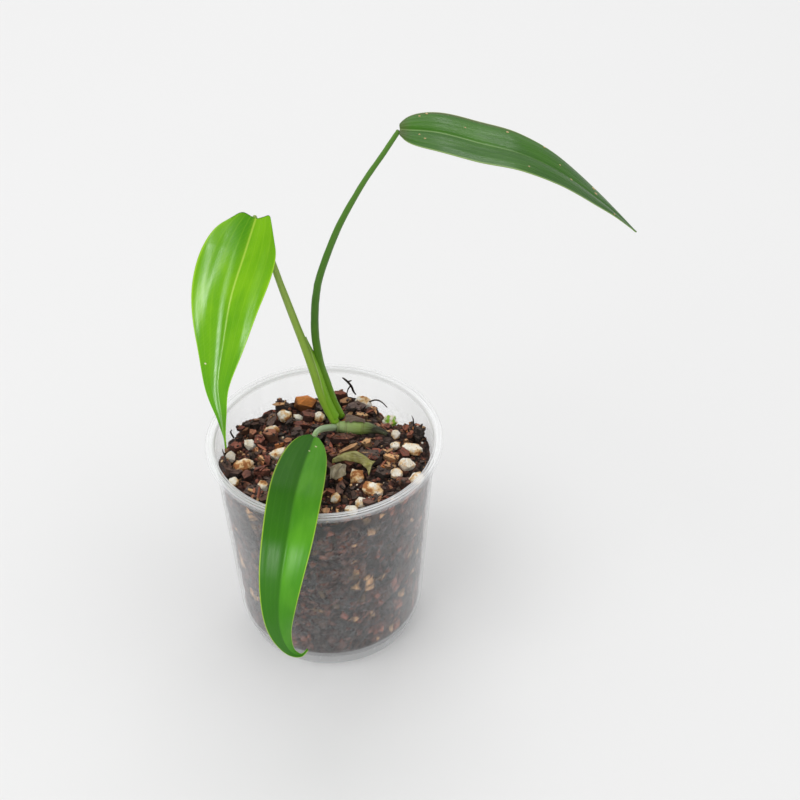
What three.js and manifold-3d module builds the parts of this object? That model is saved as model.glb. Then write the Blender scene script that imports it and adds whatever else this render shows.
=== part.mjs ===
// Potted burle marx flame monstera: a young climber in a clear nursery pot.
// Millimetres, +Z up, origin at the centre of the pot's foot.
import * as THREE from 'three';
import { mergeVertices } from 'three/addons/utils/BufferGeometryUtils.js';
import Module from 'manifold-3d';

const wasm = await Module();
wasm.setup();

// Clear pot
const POT_HEIGHT = 100;
const RIM_RADIUS = 50;
const RIM_DROP = 2.4;
const WALL = 0.8;
const WALL_TOP_RADIUS = 46.9;
const WALL_FOOT_RADIUS = 40.7;
const WALL_FOOT_HEIGHT = 11;
const FLOOR_HEIGHT = 7;
const FOOT_RADIUS = 36.9;
const CENTRE_FOOT_RADIUS = 9;
const DRAIN_HOLES = 8;
const DRAIN_RADIUS = 3;
const DRAIN_CIRCLE = 26;
const ROUND_SEGMENTS = 48;

// Potting mix
const CLEARANCE = 0.3;
const MIX_LEVEL = 88.6;
const MIX_SLOPE_X = 0.045;
const MIX_SLOPE_Y = -0.07;
const MOUND_HEIGHT = 1.5;
const MOUND_CENTRE = [10, 18];
const MOUND_SPREAD = 12;
const RIPPLE = 0.5;
const HOLLOW_DEPTH = 9;
const HOLLOW_CENTRE = [33, 33];
const HOLLOW_SPREAD = 9;
const MIX_RINGS = 6;
const MIX_BODY_TOP = 84;
const MIX_ENVELOPE_TOP = 96;
const BARK_CHIPS = 84;
const BARK_REACH = 43;
const BARK_SEED = 20417;
const GOLDEN_ANGLE = Math.PI * (3 - Math.sqrt(5));

// Grains that stand out in the mix: x, y, length, width, turn in degrees
const PERLITE = [
  [-17, 30.7, 6.8, 6.4, 10],
  [-10.9, 28.1, 3, 4.8, 80],
  [-1.3, 27.6, 5.4, 5.6, 20],
  [18.9, 38.2, 8, 5, 0],
  [29, 28.4, 7.4, 6.4, 30],
  [-31.8, 12.8, 4.6, 6, 70],
  [-40, 5, 4.8, 5.6, 20],
  [-34.5, -2, 10.5, 6.4, 20],
  [-38.5, -12.5, 4.4, 4.4, 0],
  [-26.3, -16.5, 5.6, 6, 40],
  [-19.8, 4.6, 8.4, 5.4, 25],
  [-22.3, 21.3, 7.4, 4.6, 0],
  [12.8, -16, 7, 6.4, -30],
  [19, -24.7, 9.6, 6.6, -20],
  [3.6, -29.1, 4.8, 5, 0],
  [13.7, -32.4, 5, 5.2, 40],
  [9.4, -37, 6, 5.2, -20],
  [29.4, -16.3, 5.2, 6, 0],
  [33.9, -11.4, 5.4, 7, 60],
  [37, -20.4, 7.4, 5.6, 40],
  [37.2, -0.8, 10.4, 6, -30],
  [30.8, 10.4, 4, 4.4, 0],
  [30, 3.2, 4.6, 4.4, 20],
];
const PERLITE_HEIGHT = 0.8;
const ORANGE_CHIP = [-7.6, 38.4, 9.4, 7, 15];
const ORANGE_CHIP_HEIGHT = 6.5;
const BLACK_CHUNK = [39.4, 9.6, 7.6, 8, 60];
const BLACK_CHUNK_HEIGHT = 7;

// Bark that shows among the rest: x, y, length, width, turn in degrees, height
const LARGE_BARK = [
  [-34.4, 23.1, 5.4, 4.6, 20, 4.5],
  [-30.5, 25.7, 6.4, 4.8, -20, 4.2],
  [-22.8, 27.4, 8.6, 3.8, 70, 6.5],
  [-22.8, 17.4, 7.4, 6, -35, 4.2],
  [-38, 11.6, 6.2, 5.2, 50, 4],
  [-28, 4.4, 14, 2.4, -73, 2],
  [-25.2, 3.2, 14.4, 2.8, -74, 2.6],
  [-42.4, -2.4, 13, 5, 106, 5],
  [-37.8, -6.5, 6.4, 5.2, 0, 3.6],
  [-32.9, -9, 5.2, 4.8, 30, 3.4],
  [-27, -7.3, 8.4, 3.6, -10, 2.8],
  [-30, -18.9, 9.4, 7.4, -25, 2.8],
  [-19.4, 10.9, 4.8, 1.8, 15, 1.6],
  [-30.6, 18.8, 4.8, 3.8, 60, 5],
  [7.9, 41.4, 6.8, 3.6, -15, 5],
  [10.3, 38.2, 6.2, 3.2, 15, 3],
  [14.1, 32.7, 10.4, 6.2, 15, 4.5],
  [16.7, 26.9, 6.8, 3.8, -5, 3],
  [21.6, 33.1, 5.8, 6, 60, 3.5],
  [7.5, 9.2, 13, 5, 18, 2.6],
  [10.3, 3, 12.6, 3, 21, 2],
  [18.1, 5.9, 4.8, 4.2, 30, 3],
  [1.7, 6.1, 5.8, 2.2, 68, 1.8],
  [18.4, -3.5, 12.6, 10, -35, 3],
  [23.6, -15.2, 7.4, 6.2, -20, 3.2],
  [27.2, -3.6, 13.4, 6.4, -70, 2.4],
  [5.8, -17.1, 4.8, 2.4, 75, 1.6],
  [33.7, -2.5, 6.4, 4.8, -50, 3],
  [31.7, -23, 8.4, 3.8, -40, 3],
];

// Stem, roots and petioles: x, y, z, radius
const STEM = [
  [5.3, 17.2, 90.4, 2.1],
  [8.5, 16.8, 90.4, 2.65],
  [10.8, 16.5, 90.3, 3],
  [13.5, 16.1, 90.2, 3.05],
  [16, 15.9, 90.1, 2.9],
  [18.6, 15.7, 89.9, 2.6],
  [21, 15.6, 89.4, 2.1],
  [24.1, 14.8, 88.7, 1.5],
  [26.8, 14, 87.2, 1.25],
  [28.5, 13, 83, 1.2],
  [29, 12.5, 76, 1.1],
];
const ROOTS = [
  [[9.5, 16.7, 89], [9.5, 16.7, 46]],
  [[17, 15.8, 89], [17, 15.8, 38]],
];
const ROOT_RADIUS = 0.9;
const RIGHT_PETIOLE = [
  [7.7, 21.8, 93.1, 1.55],
  [4.9, 21.2, 101.8, 1.55],
  [2.6, 21.1, 111.8, 1.55],
  [0.1, 20.9, 122.5, 1.6],
  [-1.4, 20.4, 136, 1.65],
  [-1.3, 20.4, 147.6, 1.62],
  [-0.2, 20.6, 158.7, 1.56],
  [2.2, 21, 169.3, 1.46],
  [9.7, 22, 189.3, 1.32],
  [19.6, 23, 208, 1.1],
  [28.8, 24, 222, 1.02],
  [34.4, 24.1, 231, 0.95],
];
const LEFT_PETIOLE = [
  [4.9, 18.5, 92.7, 1.9],
  [2.2, 19.2, 99.3, 2],
  [-0.3, 19.2, 107.5, 2],
  [-2.6, 19.1, 118.1, 1.8],
  [-5.7, 19.4, 131.4, 1.68],
  [-9.6, 19.8, 146.5, 1.57],
  [-14.4, 20.6, 164.8, 1.38],
  [-18.4, 21.5, 180.9, 1.28],
  [-21.2, 22, 190.6, 1.1],
  [-22.2, 21.5, 194.8, 1],
  [-22.6, 20.6, 197, 0.95],
  [-22.6, 19.5, 198, 0.9],
];
const FRONT_PETIOLE = [
  [3.9, 14.3, 92.6, 1.5],
  [1, 9, 96.9, 1.45],
  [-1.2, 4, 100.7, 1.35],
  [-2.7, -1, 103.9, 1.2],
  [-3.7, -5, 105.8, 1.1],
  [-3.95, -7, 106.6, 1.05],
];

// Leaf blades: midrib from base to tip, the way the upper face looks, and the outline
const BLADE_THICKNESS = 0.8;
const LEFT_LEAF = {
  midrib: [
    [-22.5, 18, 198.8],
    [-28.2, 16, 184.3],
    [-35.3, 13.5, 164],
    [-39.8, 11, 142.8],
    [-42.8, 8.5, 123.4],
    [-42, 6.5, 107.6],
    [-41.6, 4.2, 92.8],
  ],
  facing: [-0.15, -0.85, 0.5],
  halfWidth: 14.7,
  lean: 0.08,
  baseCurve: 0.45,
  tipCurve: 1.45,
  roll: 18.5,
  twist: -40.6,
  fold: 0.25,
  lobes: 2,
  baseWidth: 0.013,
};
const FRONT_LEAF = {
  midrib: [
    [-4.1, -8, 106.9],
    [-9.4, -31, 109.7],
    [-12.8, -48, 109.9],
    [-16, -61, 102.4],
    [-19.3, -67, 87.7],
    [-21.6, -68, 68.5],
    [-21.5, -66, 52.5],
    [-18.7, -62, 37.8],
    [-14.4, -59.4, 31.6],
    [-11.4, -58, 33.4],
  ],
  facing: [0, -0.77, 0.64],
  halfWidth: 10.55,
  lean: 0.02,
  baseCurve: 0.434,
  tipCurve: 1.04,
  roll: 5,
  twist: 5,
  fold: 0.12,
  lobes: 0.4,
  baseWidth: 0.006,
};
const RIGHT_LEAF = {
  midrib: [
    [34.9, 24, 231.7],
    [49.2, 23, 230.2],
    [65.4, 22, 225.2],
    [80.9, 20, 220.9],
    [96, 18, 213.4],
    [113, 16, 199.9],
    [127.6, 14, 186.3],
  ],
  facing: [0.2, -0.1, 1],
  halfWidth: 14.4,
  lean: 0.01,
  baseCurve: 0.406,
  tipCurve: 0.894,
  roll: -2.9,
  twist: 17.9,
  fold: 0.17,
  lobes: 0.4,
  baseWidth: 0.006,
};
const BLADE_DROOP = 0.12;
const LOBE_LENGTH = 0.06;
const LEAST_HALF_WIDTH = 0.35;
const BLADE_ROWS = 26;
const BLADE_COLUMNS = 8;

// Dry remains
const SHEET = 0.7;
const DRY_SHEATH = {
  centre: [11.2, -11, 94],
  length: 17,
  width: 8,
  turn: -20,
  curl: 3.2,
  sag: 0.8,
  bow: 3.6,
  flare: 0.5,
};
const DRY_SCRAP = {
  centre: [5, -15.9, 94.3],
  length: 9,
  width: 6.5,
  turn: 60,
  curl: 1.4,
  sag: 0.4,
  bow: 0,
  flare: 0,
};
const REMAINS_ROWS = 8;
const REMAINS_COLUMNS = 4;

const vector = ([x, y, z]) => new THREE.Vector3(x, y, z);

// Same numbers every time, from a seed
function numbers(seed) {
  let state = seed;
  return () => {
    state = (state * 1664525 + 1013904223) % 4294967296;
    return state / 4294967296;
  };
}

// Closed surface with its faces outward
function closed(positions, faces) {
  const raw = new THREE.BufferGeometry();
  raw.setAttribute('position', new THREE.Float32BufferAttribute(positions, 3));
  raw.setIndex(faces);
  const merged = mergeVertices(raw, 1e-3);
  const place = merged.getAttribute('position');
  const kept = [];
  const [a, b, c] = [new THREE.Vector3(), new THREE.Vector3(), new THREE.Vector3()];
  let volume = 0;
  for (let i = 0; i < merged.index.count; i += 3) {
    const [p, q, r] = [0, 1, 2].map((k) => merged.index.getX(i + k));
    if (p === q || q === r || r === p) continue;
    kept.push([p, q, r]);
    a.fromBufferAttribute(place, p);
    b.fromBufferAttribute(place, q);
    c.fromBufferAttribute(place, r);
    volume += a.dot(b.cross(c));
  }
  merged.setIndex(kept.flatMap(([p, q, r]) => (volume < 0 ? [p, r, q] : [p, q, r])));
  return merged;
}

function closedFrom(geometry) {
  const faces = geometry.index ?? [...Array(geometry.attributes.position.count).keys()];
  return closed([...geometry.attributes.position.array], [...(faces.array ?? faces)]);
}

function solid(geometry) {
  return new wasm.Manifold(new wasm.Mesh({
    numProp: 3,
    vertProperties: new Float32Array(geometry.attributes.position.array),
    triVerts: new Uint32Array(geometry.index.array),
  }));
}

function surface(made) {
  const mesh = made.getMesh();
  const geometry = new THREE.BufferGeometry();
  geometry.setAttribute('position', new THREE.BufferAttribute(mesh.vertProperties, 3));
  geometry.setIndex([...mesh.triVerts]);
  return geometry;
}

// Body of revolution about Z from [radius, height] pairs
function turned(profile) {
  const points = profile.map(([r, z]) => new THREE.Vector2(r, z));
  return closedFrom(new THREE.LatheGeometry(points, ROUND_SEGMENTS).rotateX(Math.PI / 2));
}

// Thin closed sheet of even thickness over a grid of { at, out }
function sheet(grid, thickness) {
  const rows = grid.length;
  const columns = grid[0].length;
  const positions = [];
  for (const side of [0.5, -0.5]) {
    for (const row of grid) {
      for (const { at, out } of row) {
        positions.push(...at.clone().addScaledVector(out, side * thickness));
      }
    }
  }
  const index = (face, i, j) => (face * rows + i) * columns + j;
  const faces = [];
  const quad = (a, b, c, d) => faces.push(a, b, c, a, c, d);
  for (let i = 0; i < rows - 1; i += 1) {
    for (let j = 0; j < columns - 1; j += 1) {
      const [a, b, c, d] = [[i, j], [i, j + 1], [i + 1, j + 1], [i + 1, j]];
      quad(index(0, ...a), index(0, ...b), index(0, ...c), index(0, ...d));
      faces.push(index(1, ...a), index(1, ...c), index(1, ...b));
      faces.push(index(1, ...a), index(1, ...d), index(1, ...c));
    }
    quad(index(0, i + 1, 0), index(1, i + 1, 0), index(1, i, 0), index(0, i, 0));
    const last = columns - 1;
    quad(index(0, i, last), index(1, i, last), index(1, i + 1, last), index(0, i + 1, last));
  }
  for (let j = 0; j < columns - 1; j += 1) {
    quad(index(0, 0, j), index(1, 0, j), index(1, 0, j + 1), index(0, 0, j + 1));
    const last = rows - 1;
    quad(index(0, last, j + 1), index(1, last, j + 1), index(1, last, j), index(0, last, j));
  }
  return closed(positions, faces);
}

// Place, radius and cross directions along a stalk given by its stations
function stalk(stations, across) {
  const line = new THREE.CatmullRomCurve3(stations.map(vector), false, 'catmullrom', 0.5);
  const girth = new THREE.CatmullRomCurve3(
    stations.map((s) => new THREE.Vector3(s[3], 0, 0)), false, 'catmullrom', 0.5);
  return (t) => {
    const along = line.getTangent(t);
    const side = vector(across).projectOnPlane(along).normalize();
    return {
      at: line.getPoint(t),
      radius: girth.getPoint(t).x,
      along,
      side,
      up: new THREE.Vector3().crossVectors(along, side),
    };
  };
}

// Round stalk, closed at both ends, grown by a margin if asked
function tube(stations, across, sides, steps, margin = 0) {
  const where = stalk(stations, across);
  const positions = [];
  const faces = [];
  for (let i = 0; i <= steps; i += 1) {
    const { at, radius, along, side, up } = where(i / steps);
    if (i === 0) at.addScaledVector(along, -margin);
    if (i === steps) at.addScaledVector(along, margin);
    for (let j = 0; j < sides; j += 1) {
      const angle = (2 * Math.PI * j) / sides;
      positions.push(...at.clone()
        .addScaledVector(side, Math.cos(angle) * (radius + margin))
        .addScaledVector(up, Math.sin(angle) * (radius + margin)));
      if (i < steps) {
        const next = (j + 1) % sides;
        const [a, b] = [i * sides + j, i * sides + next];
        faces.push(a, b, b + sides, a, b + sides, a + sides);
      }
    }
  }
  const last = steps * sides;
  for (let j = 1; j < sides - 1; j += 1) {
    faces.push(0, j + 1, j, last, last + j, last + j + 1);
  }
  return closed(positions, faces);
}

// Sheet that wraps a stalk between two stations, from one angle to another
function wrap(stations, across, { from, to, angles, offset, rows, columns }) {
  const where = stalk(stations, across);
  const grid = [];
  for (let i = 0; i <= rows; i += 1) {
    const k = i / rows;
    const { at, radius, side, up } = where(from + (to - from) * k);
    const [first, second] = angles(k);
    const row = [];
    for (let j = 0; j <= columns; j += 1) {
      const v = j / columns;
      const angle = THREE.MathUtils.degToRad(first + (second - first) * v);
      const out = side.clone().multiplyScalar(Math.cos(angle)).addScaledVector(up, Math.sin(angle));
      row.push({ at: at.clone().addScaledVector(out, radius + offset(k, v)), out });
    }
    grid.push(row);
  }
  return sheet(grid, SHEET);
}

// Leaf blade with a folded midrib, drooping margins and lobes at the base
function blade(leaf) {
  const line = new THREE.CatmullRomCurve3(leaf.midrib.map(vector), false, 'catmullrom', 0.5);
  const widest = leaf.baseCurve / (leaf.baseCurve + leaf.tipCurve);
  const grid = [];
  for (let i = 0; i <= BLADE_ROWS; i += 1) {
    const u = 1 - Math.cos((Math.PI / 2) * (i / BLADE_ROWS)) ** 1.2;
    const along = line.getTangentAt(u);
    const across = new THREE.Vector3().crossVectors(along, vector(leaf.facing)).normalize();
    across.applyAxisAngle(along, -THREE.MathUtils.degToRad(leaf.roll + leaf.twist * u));
    const up = new THREE.Vector3().crossVectors(across, along);
    const outline = ((u + leaf.baseWidth) / (widest + leaf.baseWidth)) ** leaf.baseCurve
      * ((1 - u) / (1 - widest)) ** leaf.tipCurve;
    const half = Math.max(leaf.halfWidth * outline, LEAST_HALF_WIDTH);
    const row = [];
    for (let j = 0; j <= BLADE_COLUMNS; j += 1) {
      const v = (2 * j) / BLADE_COLUMNS - 1;
      const at = line.getPointAt(u)
        .addScaledVector(across, half * v * (1 + leaf.lean * Math.sign(v)))
        .addScaledVector(up, half * (leaf.fold * Math.abs(v) - BLADE_DROOP * v * v))
        .addScaledVector(along, -leaf.lobes * (2 * v * v - v ** 4) * Math.exp(-u / LOBE_LENGTH));
      row.push({ at, out: up });
    }
    grid.push(row);
  }
  return sheet(grid, BLADE_THICKNESS);
}

// Curled dry remains lying on the mix
function remains({ centre, length, width, turn, curl, sag, bow, flare }) {
  const grid = [];
  for (let i = 0; i <= REMAINS_ROWS; i += 1) {
    const s = (2 * i) / REMAINS_ROWS - 1;
    const half = (width / 2) * (1 - 0.55 * Math.abs(s) ** 1.5 + flare * Math.max(0, s) ** 3);
    const row = [];
    for (let j = 0; j <= REMAINS_COLUMNS; j += 1) {
      const v = (2 * j) / REMAINS_COLUMNS - 1;
      const arch = curl * (1 - v * v) * (1 - 0.4 * s * s) - sag * s * s;
      row.push({
        at: new THREE.Vector3((length / 2) * s, half * v + bow * (1 - s * s), arch),
        out: new THREE.Vector3(0, 0.7 * v, 1).normalize(),
      });
    }
    grid.push(row);
  }
  return sheet(grid, SHEET).rotateZ(THREE.MathUtils.degToRad(turn)).translate(...centre);
}

const wallRadius = (z) => THREE.MathUtils.mapLinear(
  z, WALL_FOOT_HEIGHT, POT_HEIGHT, WALL_FOOT_RADIUS, WALL_TOP_RADIUS);

function pot() {
  const under = FLOOR_HEIGHT - WALL - 0.1;
  const lip = POT_HEIGHT - RIM_DROP;
  const body = turned([
    [0, 0],
    [CENTRE_FOOT_RADIUS, 0],
    [CENTRE_FOOT_RADIUS + 1, 0.5],
    [CENTRE_FOOT_RADIUS + 2.4, under - 0.5],
    [CENTRE_FOOT_RADIUS + 3.2, under],
    [FOOT_RADIUS - 1.7, under],
    [FOOT_RADIUS - 1.2, under - 0.5],
    [FOOT_RADIUS - 1, 0],
    [FOOT_RADIUS, 0],
    [FOOT_RADIUS + 0.4, 5],
    [FOOT_RADIUS + 1.7, 6.3],
    [FOOT_RADIUS + 3.1, 8.4],
    [WALL_FOOT_RADIUS, WALL_FOOT_HEIGHT],
    [wallRadius(lip), lip + 0.6],
    [wallRadius(lip) + 0.5, POT_HEIGHT - 1],
    [RIM_RADIUS - 1, POT_HEIGHT - 1],
    [RIM_RADIUS - 0.8, lip],
    [RIM_RADIUS - 0.1, lip],
    [RIM_RADIUS, lip + 0.8],
    [RIM_RADIUS - 0.1, POT_HEIGHT - 0.5],
    [RIM_RADIUS - 0.7, POT_HEIGHT],
    [wallRadius(POT_HEIGHT) - 0.2, POT_HEIGHT],
    [wallRadius(POT_HEIGHT) - WALL, POT_HEIGHT - 0.6],
    [WALL_FOOT_RADIUS - WALL, WALL_FOOT_HEIGHT],
    [FOOT_RADIUS + 2.4, 8.9],
    [FOOT_RADIUS + 1.1, 7.4],
    [FOOT_RADIUS - 0.1, FLOOR_HEIGHT],
    [CENTRE_FOOT_RADIUS + 4, FLOOR_HEIGHT],
    [CENTRE_FOOT_RADIUS + 2.9, FLOOR_HEIGHT - 0.5],
    [CENTRE_FOOT_RADIUS + 1.6, 1.6],
    [CENTRE_FOOT_RADIUS + 0.6, 0.9],
    [0, 0.9],
  ]);
  let made = solid(body);
  for (let i = 0; i < DRAIN_HOLES; i += 1) {
    const angle = (2 * Math.PI * i) / DRAIN_HOLES;
    const hole = new THREE.CylinderGeometry(DRAIN_RADIUS, DRAIN_RADIUS, 3, 12)
      .rotateX(Math.PI / 2)
      .translate(DRAIN_CIRCLE * Math.cos(angle), DRAIN_CIRCLE * Math.sin(angle), FLOOR_HEIGHT - WALL / 2);
    made = made.subtract(solid(closedFrom(hole)));
  }
  return surface(made);
}

function swell(x, y, [cx, cy], spread) {
  return Math.exp(-((x - cx) ** 2 + (y - cy) ** 2) / (2 * spread ** 2));
}

// Height of the mix's surface: heaped round the stem, with a hollow at the back right
function mixHeight(x, y) {
  const ripple = Math.sin(0.31 * x + 1.3) * Math.cos(0.37 * y) + 0.6 * Math.sin(0.83 * x - 0.57 * y);
  return MIX_LEVEL + MIX_SLOPE_X * x + MIX_SLOPE_Y * y + RIPPLE * ripple
    + MOUND_HEIGHT * swell(x, y, MOUND_CENTRE, MOUND_SPREAD)
    - HOLLOW_DEPTH * swell(x, y, HOLLOW_CENTRE, HOLLOW_SPREAD);
}

// Inside of the pot less the clearance, up to a given height
function insideProfile(top) {
  const wall = WALL + CLEARANCE;
  return [
    [0, 0.9 + CLEARANCE],
    [CENTRE_FOOT_RADIUS + 0.4, 0.9 + CLEARANCE],
    [CENTRE_FOOT_RADIUS + 1, 2.2],
    [CENTRE_FOOT_RADIUS + 2.6, FLOOR_HEIGHT - 0.1],
    [CENTRE_FOOT_RADIUS + 3.6, FLOOR_HEIGHT + CLEARANCE],
    [FOOT_RADIUS - 0.3, FLOOR_HEIGHT + CLEARANCE],
    [FOOT_RADIUS + 0.9, 7.7],
    [FOOT_RADIUS + 2.1, 9.2],
    [WALL_FOOT_RADIUS - wall, WALL_FOOT_HEIGHT + 0.2],
    [wallRadius(top) - wall, top],
  ];
}

// Rounded lump of twelve corners, or a blocky chip with a flat top
function grain([x, y, length, width, turn], height, blocky, random) {
  const positions = [0, 0, 1, 0, 0, -1];
  const faces = [];
  for (let k = 0; k < 5; k += 1) {
    for (const level of [0, 1]) {
      const angle = (2 * Math.PI * (k + (blocky ? 0 : 0.5 * level))) / 5;
      const reach = (blocky ? 1 : 0.9) * (0.78 + 0.34 * random());
      const z = (level ? -1 : 1) * (blocky ? 0.95 : 0.5);
      positions.push(reach * Math.cos(angle), reach * Math.sin(angle), z);
    }
    const [a, b] = [2 + 2 * k, 3 + 2 * k];
    const [c, d] = [2 + 2 * ((k + 1) % 5), 3 + 2 * ((k + 1) % 5)];
    faces.push(0, a, c, 1, d, b, a, b, c, b, d, c);
  }
  return closed(positions, faces)
    .applyMatrix4(new THREE.Matrix4().makeScale(length / 2, width / 2, height / 2))
    .rotateX(0.7 * (random() - 0.5))
    .rotateY(0.5 * (random() - 0.5))
    .rotateZ(THREE.MathUtils.degToRad(turn))
    .translate(x, y, mixHeight(x, y) + 0.12 * height);
}

function nearStalk(x, y, reach) {
  return STEM.slice(0, 9).some((s) => Math.hypot(x - s[0], y - s[1]) < reach + s[3] + 1.5);
}

function chips() {
  const random = numbers(BARK_SEED);
  const made = [];
  const marked = [...PERLITE, ...LARGE_BARK, ORANGE_CHIP, BLACK_CHUNK];
  for (let i = 0; i < BARK_CHIPS; i += 1) {
    const reach = BARK_REACH * Math.sqrt((i + 0.5) / BARK_CHIPS);
    const angle = GOLDEN_ANGLE * i;
    const x = reach * Math.cos(angle) + 2 * (random() - 0.5);
    const y = reach * Math.sin(angle) + 2 * (random() - 0.5);
    const length = 6 + 6 * random();
    const width = 3.6 + 3 * random();
    const turn = 180 * random();
    const height = 2.6 + 2 * random();
    const chip = grain([x, y, length, width, turn], height, true, random);
    const crowded = marked.some((m) => Math.hypot(x - m[0], y - m[1]) < 0.5 * m[2] + 1.6);
    if (!crowded && !nearStalk(x, y, length / 2)) made.push(chip);
  }
  for (const one of PERLITE) {
    made.push(grain(one, PERLITE_HEIGHT * one[3], false, random));
  }
  made.push(grain(ORANGE_CHIP, ORANGE_CHIP_HEIGHT, false, random));
  made.push(grain(BLACK_CHUNK, BLACK_CHUNK_HEIGHT, false, random));
  for (const one of LARGE_BARK) made.push(grain(one, one[5], true, random));
  return made;
}

function pottingMix() {
  const low = MIX_BODY_TOP;
  const rings = [];
  for (let i = MIX_RINGS; i >= 0; i -= 1) {
    rings.push([((wallRadius(low) - WALL - CLEARANCE) * i) / MIX_RINGS, low + 1]);
  }
  const body = turned([...insideProfile(low), ...rings]);
  const place = body.getAttribute('position');
  for (let i = 0; i < place.count; i += 1) {
    if (place.getZ(i) > low + 0.5) place.setZ(i, mixHeight(place.getX(i), place.getY(i)));
  }
  let made = solid(body);
  for (const chip of chips()) made = made.add(solid(chip));
  made = made.intersect(solid(turned([...insideProfile(MIX_ENVELOPE_TOP), [0, MIX_ENVELOPE_TOP]])));
  made = made.subtract(solid(tube(STEM, [0, 1, 0], 12, 28, CLEARANCE + 0.1)));
  for (const [top, bottom] of ROOTS) {
    const hole = [[...top, ROOT_RADIUS], [bottom[0], bottom[1], bottom[2] - 1, ROOT_RADIUS]];
    made = made.subtract(solid(tube(hole, [1, 0, 0], 8, 1, CLEARANCE + 0.1)));
  }
  return surface(made);
}

function stem() {
  let made = solid(tube(STEM, [0, 1, 0], 10, 28));
  for (const [top, bottom] of ROOTS) {
    const root = [[...top, ROOT_RADIUS], [...bottom, ROOT_RADIUS]];
    made = made.add(solid(tube(root, [1, 0, 0], 6, 1)));
  }
  return surface(made);
}

// Petiole of the oldest leaf, its sheath clasping the newest one
function rightPetiole() {
  const sheath = wrap(LEFT_PETIOLE, [1, 0, 0], {
    from: 0.02,
    to: 0.29,
    angles: (k) => [30 - 20 * k, 30 - 20 * k - (105 - 65 * k) * (1 - 0.85 * k ** 6)],
    offset: (k) => CLEARANCE + SHEET / 2 + 1.6 * Math.max(0, k - 0.7),
    rows: 12,
    columns: 5,
  });
  return surface(solid(tube(RIGHT_PETIOLE, [0, 1, 0], 8, 36)).add(solid(sheath)));
}

function dryScale() {
  return wrap(STEM, [0, 1, 0], {
    from: 0.13,
    to: 0.46,
    angles: (k) => [52, 98 - 6 * k],
    offset: (k, v) => CLEARANCE + SHEET / 2 + (2.2 - 1.9 * k) * (1 - v) ** 2,
    rows: 7,
    columns: 4,
  });
}

function finish(color, roughness, more = {}) {
  return new THREE.MeshStandardMaterial({ color, roughness, metalness: 0, ...more });
}

const plant = new THREE.Group();
function place(name, geometry, material) {
  geometry.computeVertexNormals();
  const mesh = new THREE.Mesh(geometry, material);
  mesh.name = name;
  plant.add(mesh);
}

place('pot', pot(), finish('#dfe3e4', 0.25, { transparent: true, opacity: 0.35 }));
place('potting_mix', pottingMix(), finish('#3d2a20', 0.9));
place('stem', stem(), finish('#7d9463', 0.45));
place('petiole_left', tube(LEFT_PETIOLE, [1, 0, 0], 8, 36), finish('#7b9a3f', 0.4));
place('petiole_right', rightPetiole(), finish('#4f8038', 0.4));
place('petiole_front', tube(FRONT_PETIOLE, [1, 0, 0], 8, 12), finish('#7f9b74', 0.45));
place('leaf_left', blade(LEFT_LEAF), finish('#6da318', 0.3));
place('leaf_right', blade(RIGHT_LEAF), finish('#4e7c42', 0.35));
place('leaf_front', blade(FRONT_LEAF), finish('#3d7a1e', 0.3));
place('dry_scale', dryScale(), finish('#5a463a', 0.8));
place('dry_sheath', remains(DRY_SHEATH), finish('#8f8f45', 0.75));
place('dry_scrap', remains(DRY_SCRAP), finish('#8b8373', 0.85));

export default plant;
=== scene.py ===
"""Looks of a young flame monstera in a clear nursery pot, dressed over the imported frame.

Sizes are millimetres, as on the drawing of the plant; every mesh is made in metres.
"""

import itertools
import logging
import math
from dataclasses import dataclass, field, replace
from enum import Enum
from functools import lru_cache
from typing import Callable, Sequence

import bmesh
import bpy
import numpy as np
from mathutils import Matrix, Vector
from mathutils.bvhtree import BVHTree
from mathutils.kdtree import KDTree


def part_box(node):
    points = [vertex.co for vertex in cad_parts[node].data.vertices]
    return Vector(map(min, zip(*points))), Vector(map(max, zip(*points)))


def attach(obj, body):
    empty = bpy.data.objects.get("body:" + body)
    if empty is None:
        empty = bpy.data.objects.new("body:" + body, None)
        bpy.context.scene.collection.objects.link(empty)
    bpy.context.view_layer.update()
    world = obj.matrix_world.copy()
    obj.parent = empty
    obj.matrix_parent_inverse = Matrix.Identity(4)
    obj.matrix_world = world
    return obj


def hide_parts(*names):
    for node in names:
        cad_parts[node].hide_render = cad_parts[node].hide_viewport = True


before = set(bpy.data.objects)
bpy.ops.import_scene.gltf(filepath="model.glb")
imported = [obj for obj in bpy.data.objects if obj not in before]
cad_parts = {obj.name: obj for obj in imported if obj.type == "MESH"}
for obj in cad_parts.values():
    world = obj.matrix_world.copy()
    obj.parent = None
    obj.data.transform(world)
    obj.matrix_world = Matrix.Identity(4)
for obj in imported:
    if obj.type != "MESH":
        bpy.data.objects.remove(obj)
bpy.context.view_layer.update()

LOG = logging.getLogger("flame_monstera")
MM = 0.001
GOLDEN_ANGLE = math.pi * (3 - math.sqrt(5))
# Long veins from the rib to the margin of a blade
LONG_VEINS = 4.6

Row = tuple[float, ...]
Faces = list[list[int]]
Colour = tuple[float, float, float, float]


def paint(code: str) -> Colour:
    """Linear colour, as a shader reads it, from a six-figure hex code such as "6da318"."""
    parts = [int(code[i:i + 2], 16) / 255 for i in (0, 2, 4)]
    return (*(p / 12.92 if p <= 0.04045 else ((p + 0.055) / 1.055) ** 2.4 for p in parts), 1.0)


def palette(codes: str) -> list[Colour]:
    """Colours from hex codes with spaces between."""
    return [paint(code) for code in codes.split()]


def mm_box(node: str) -> tuple[np.ndarray, np.ndarray]:
    """Lowest and highest corner of a frame node, in millimetres."""
    low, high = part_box(node)
    return np.array(low) / MM, np.array(high) / MM


def smooth(values: np.ndarray, low: float, high: float) -> np.ndarray:
    """Soft step of numbers, from 0 at low to 1 at high."""
    share = np.clip((np.asarray(values, float) - low) / (high - low), 0, 1)
    return share * share * (3 - 2 * share)


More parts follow.
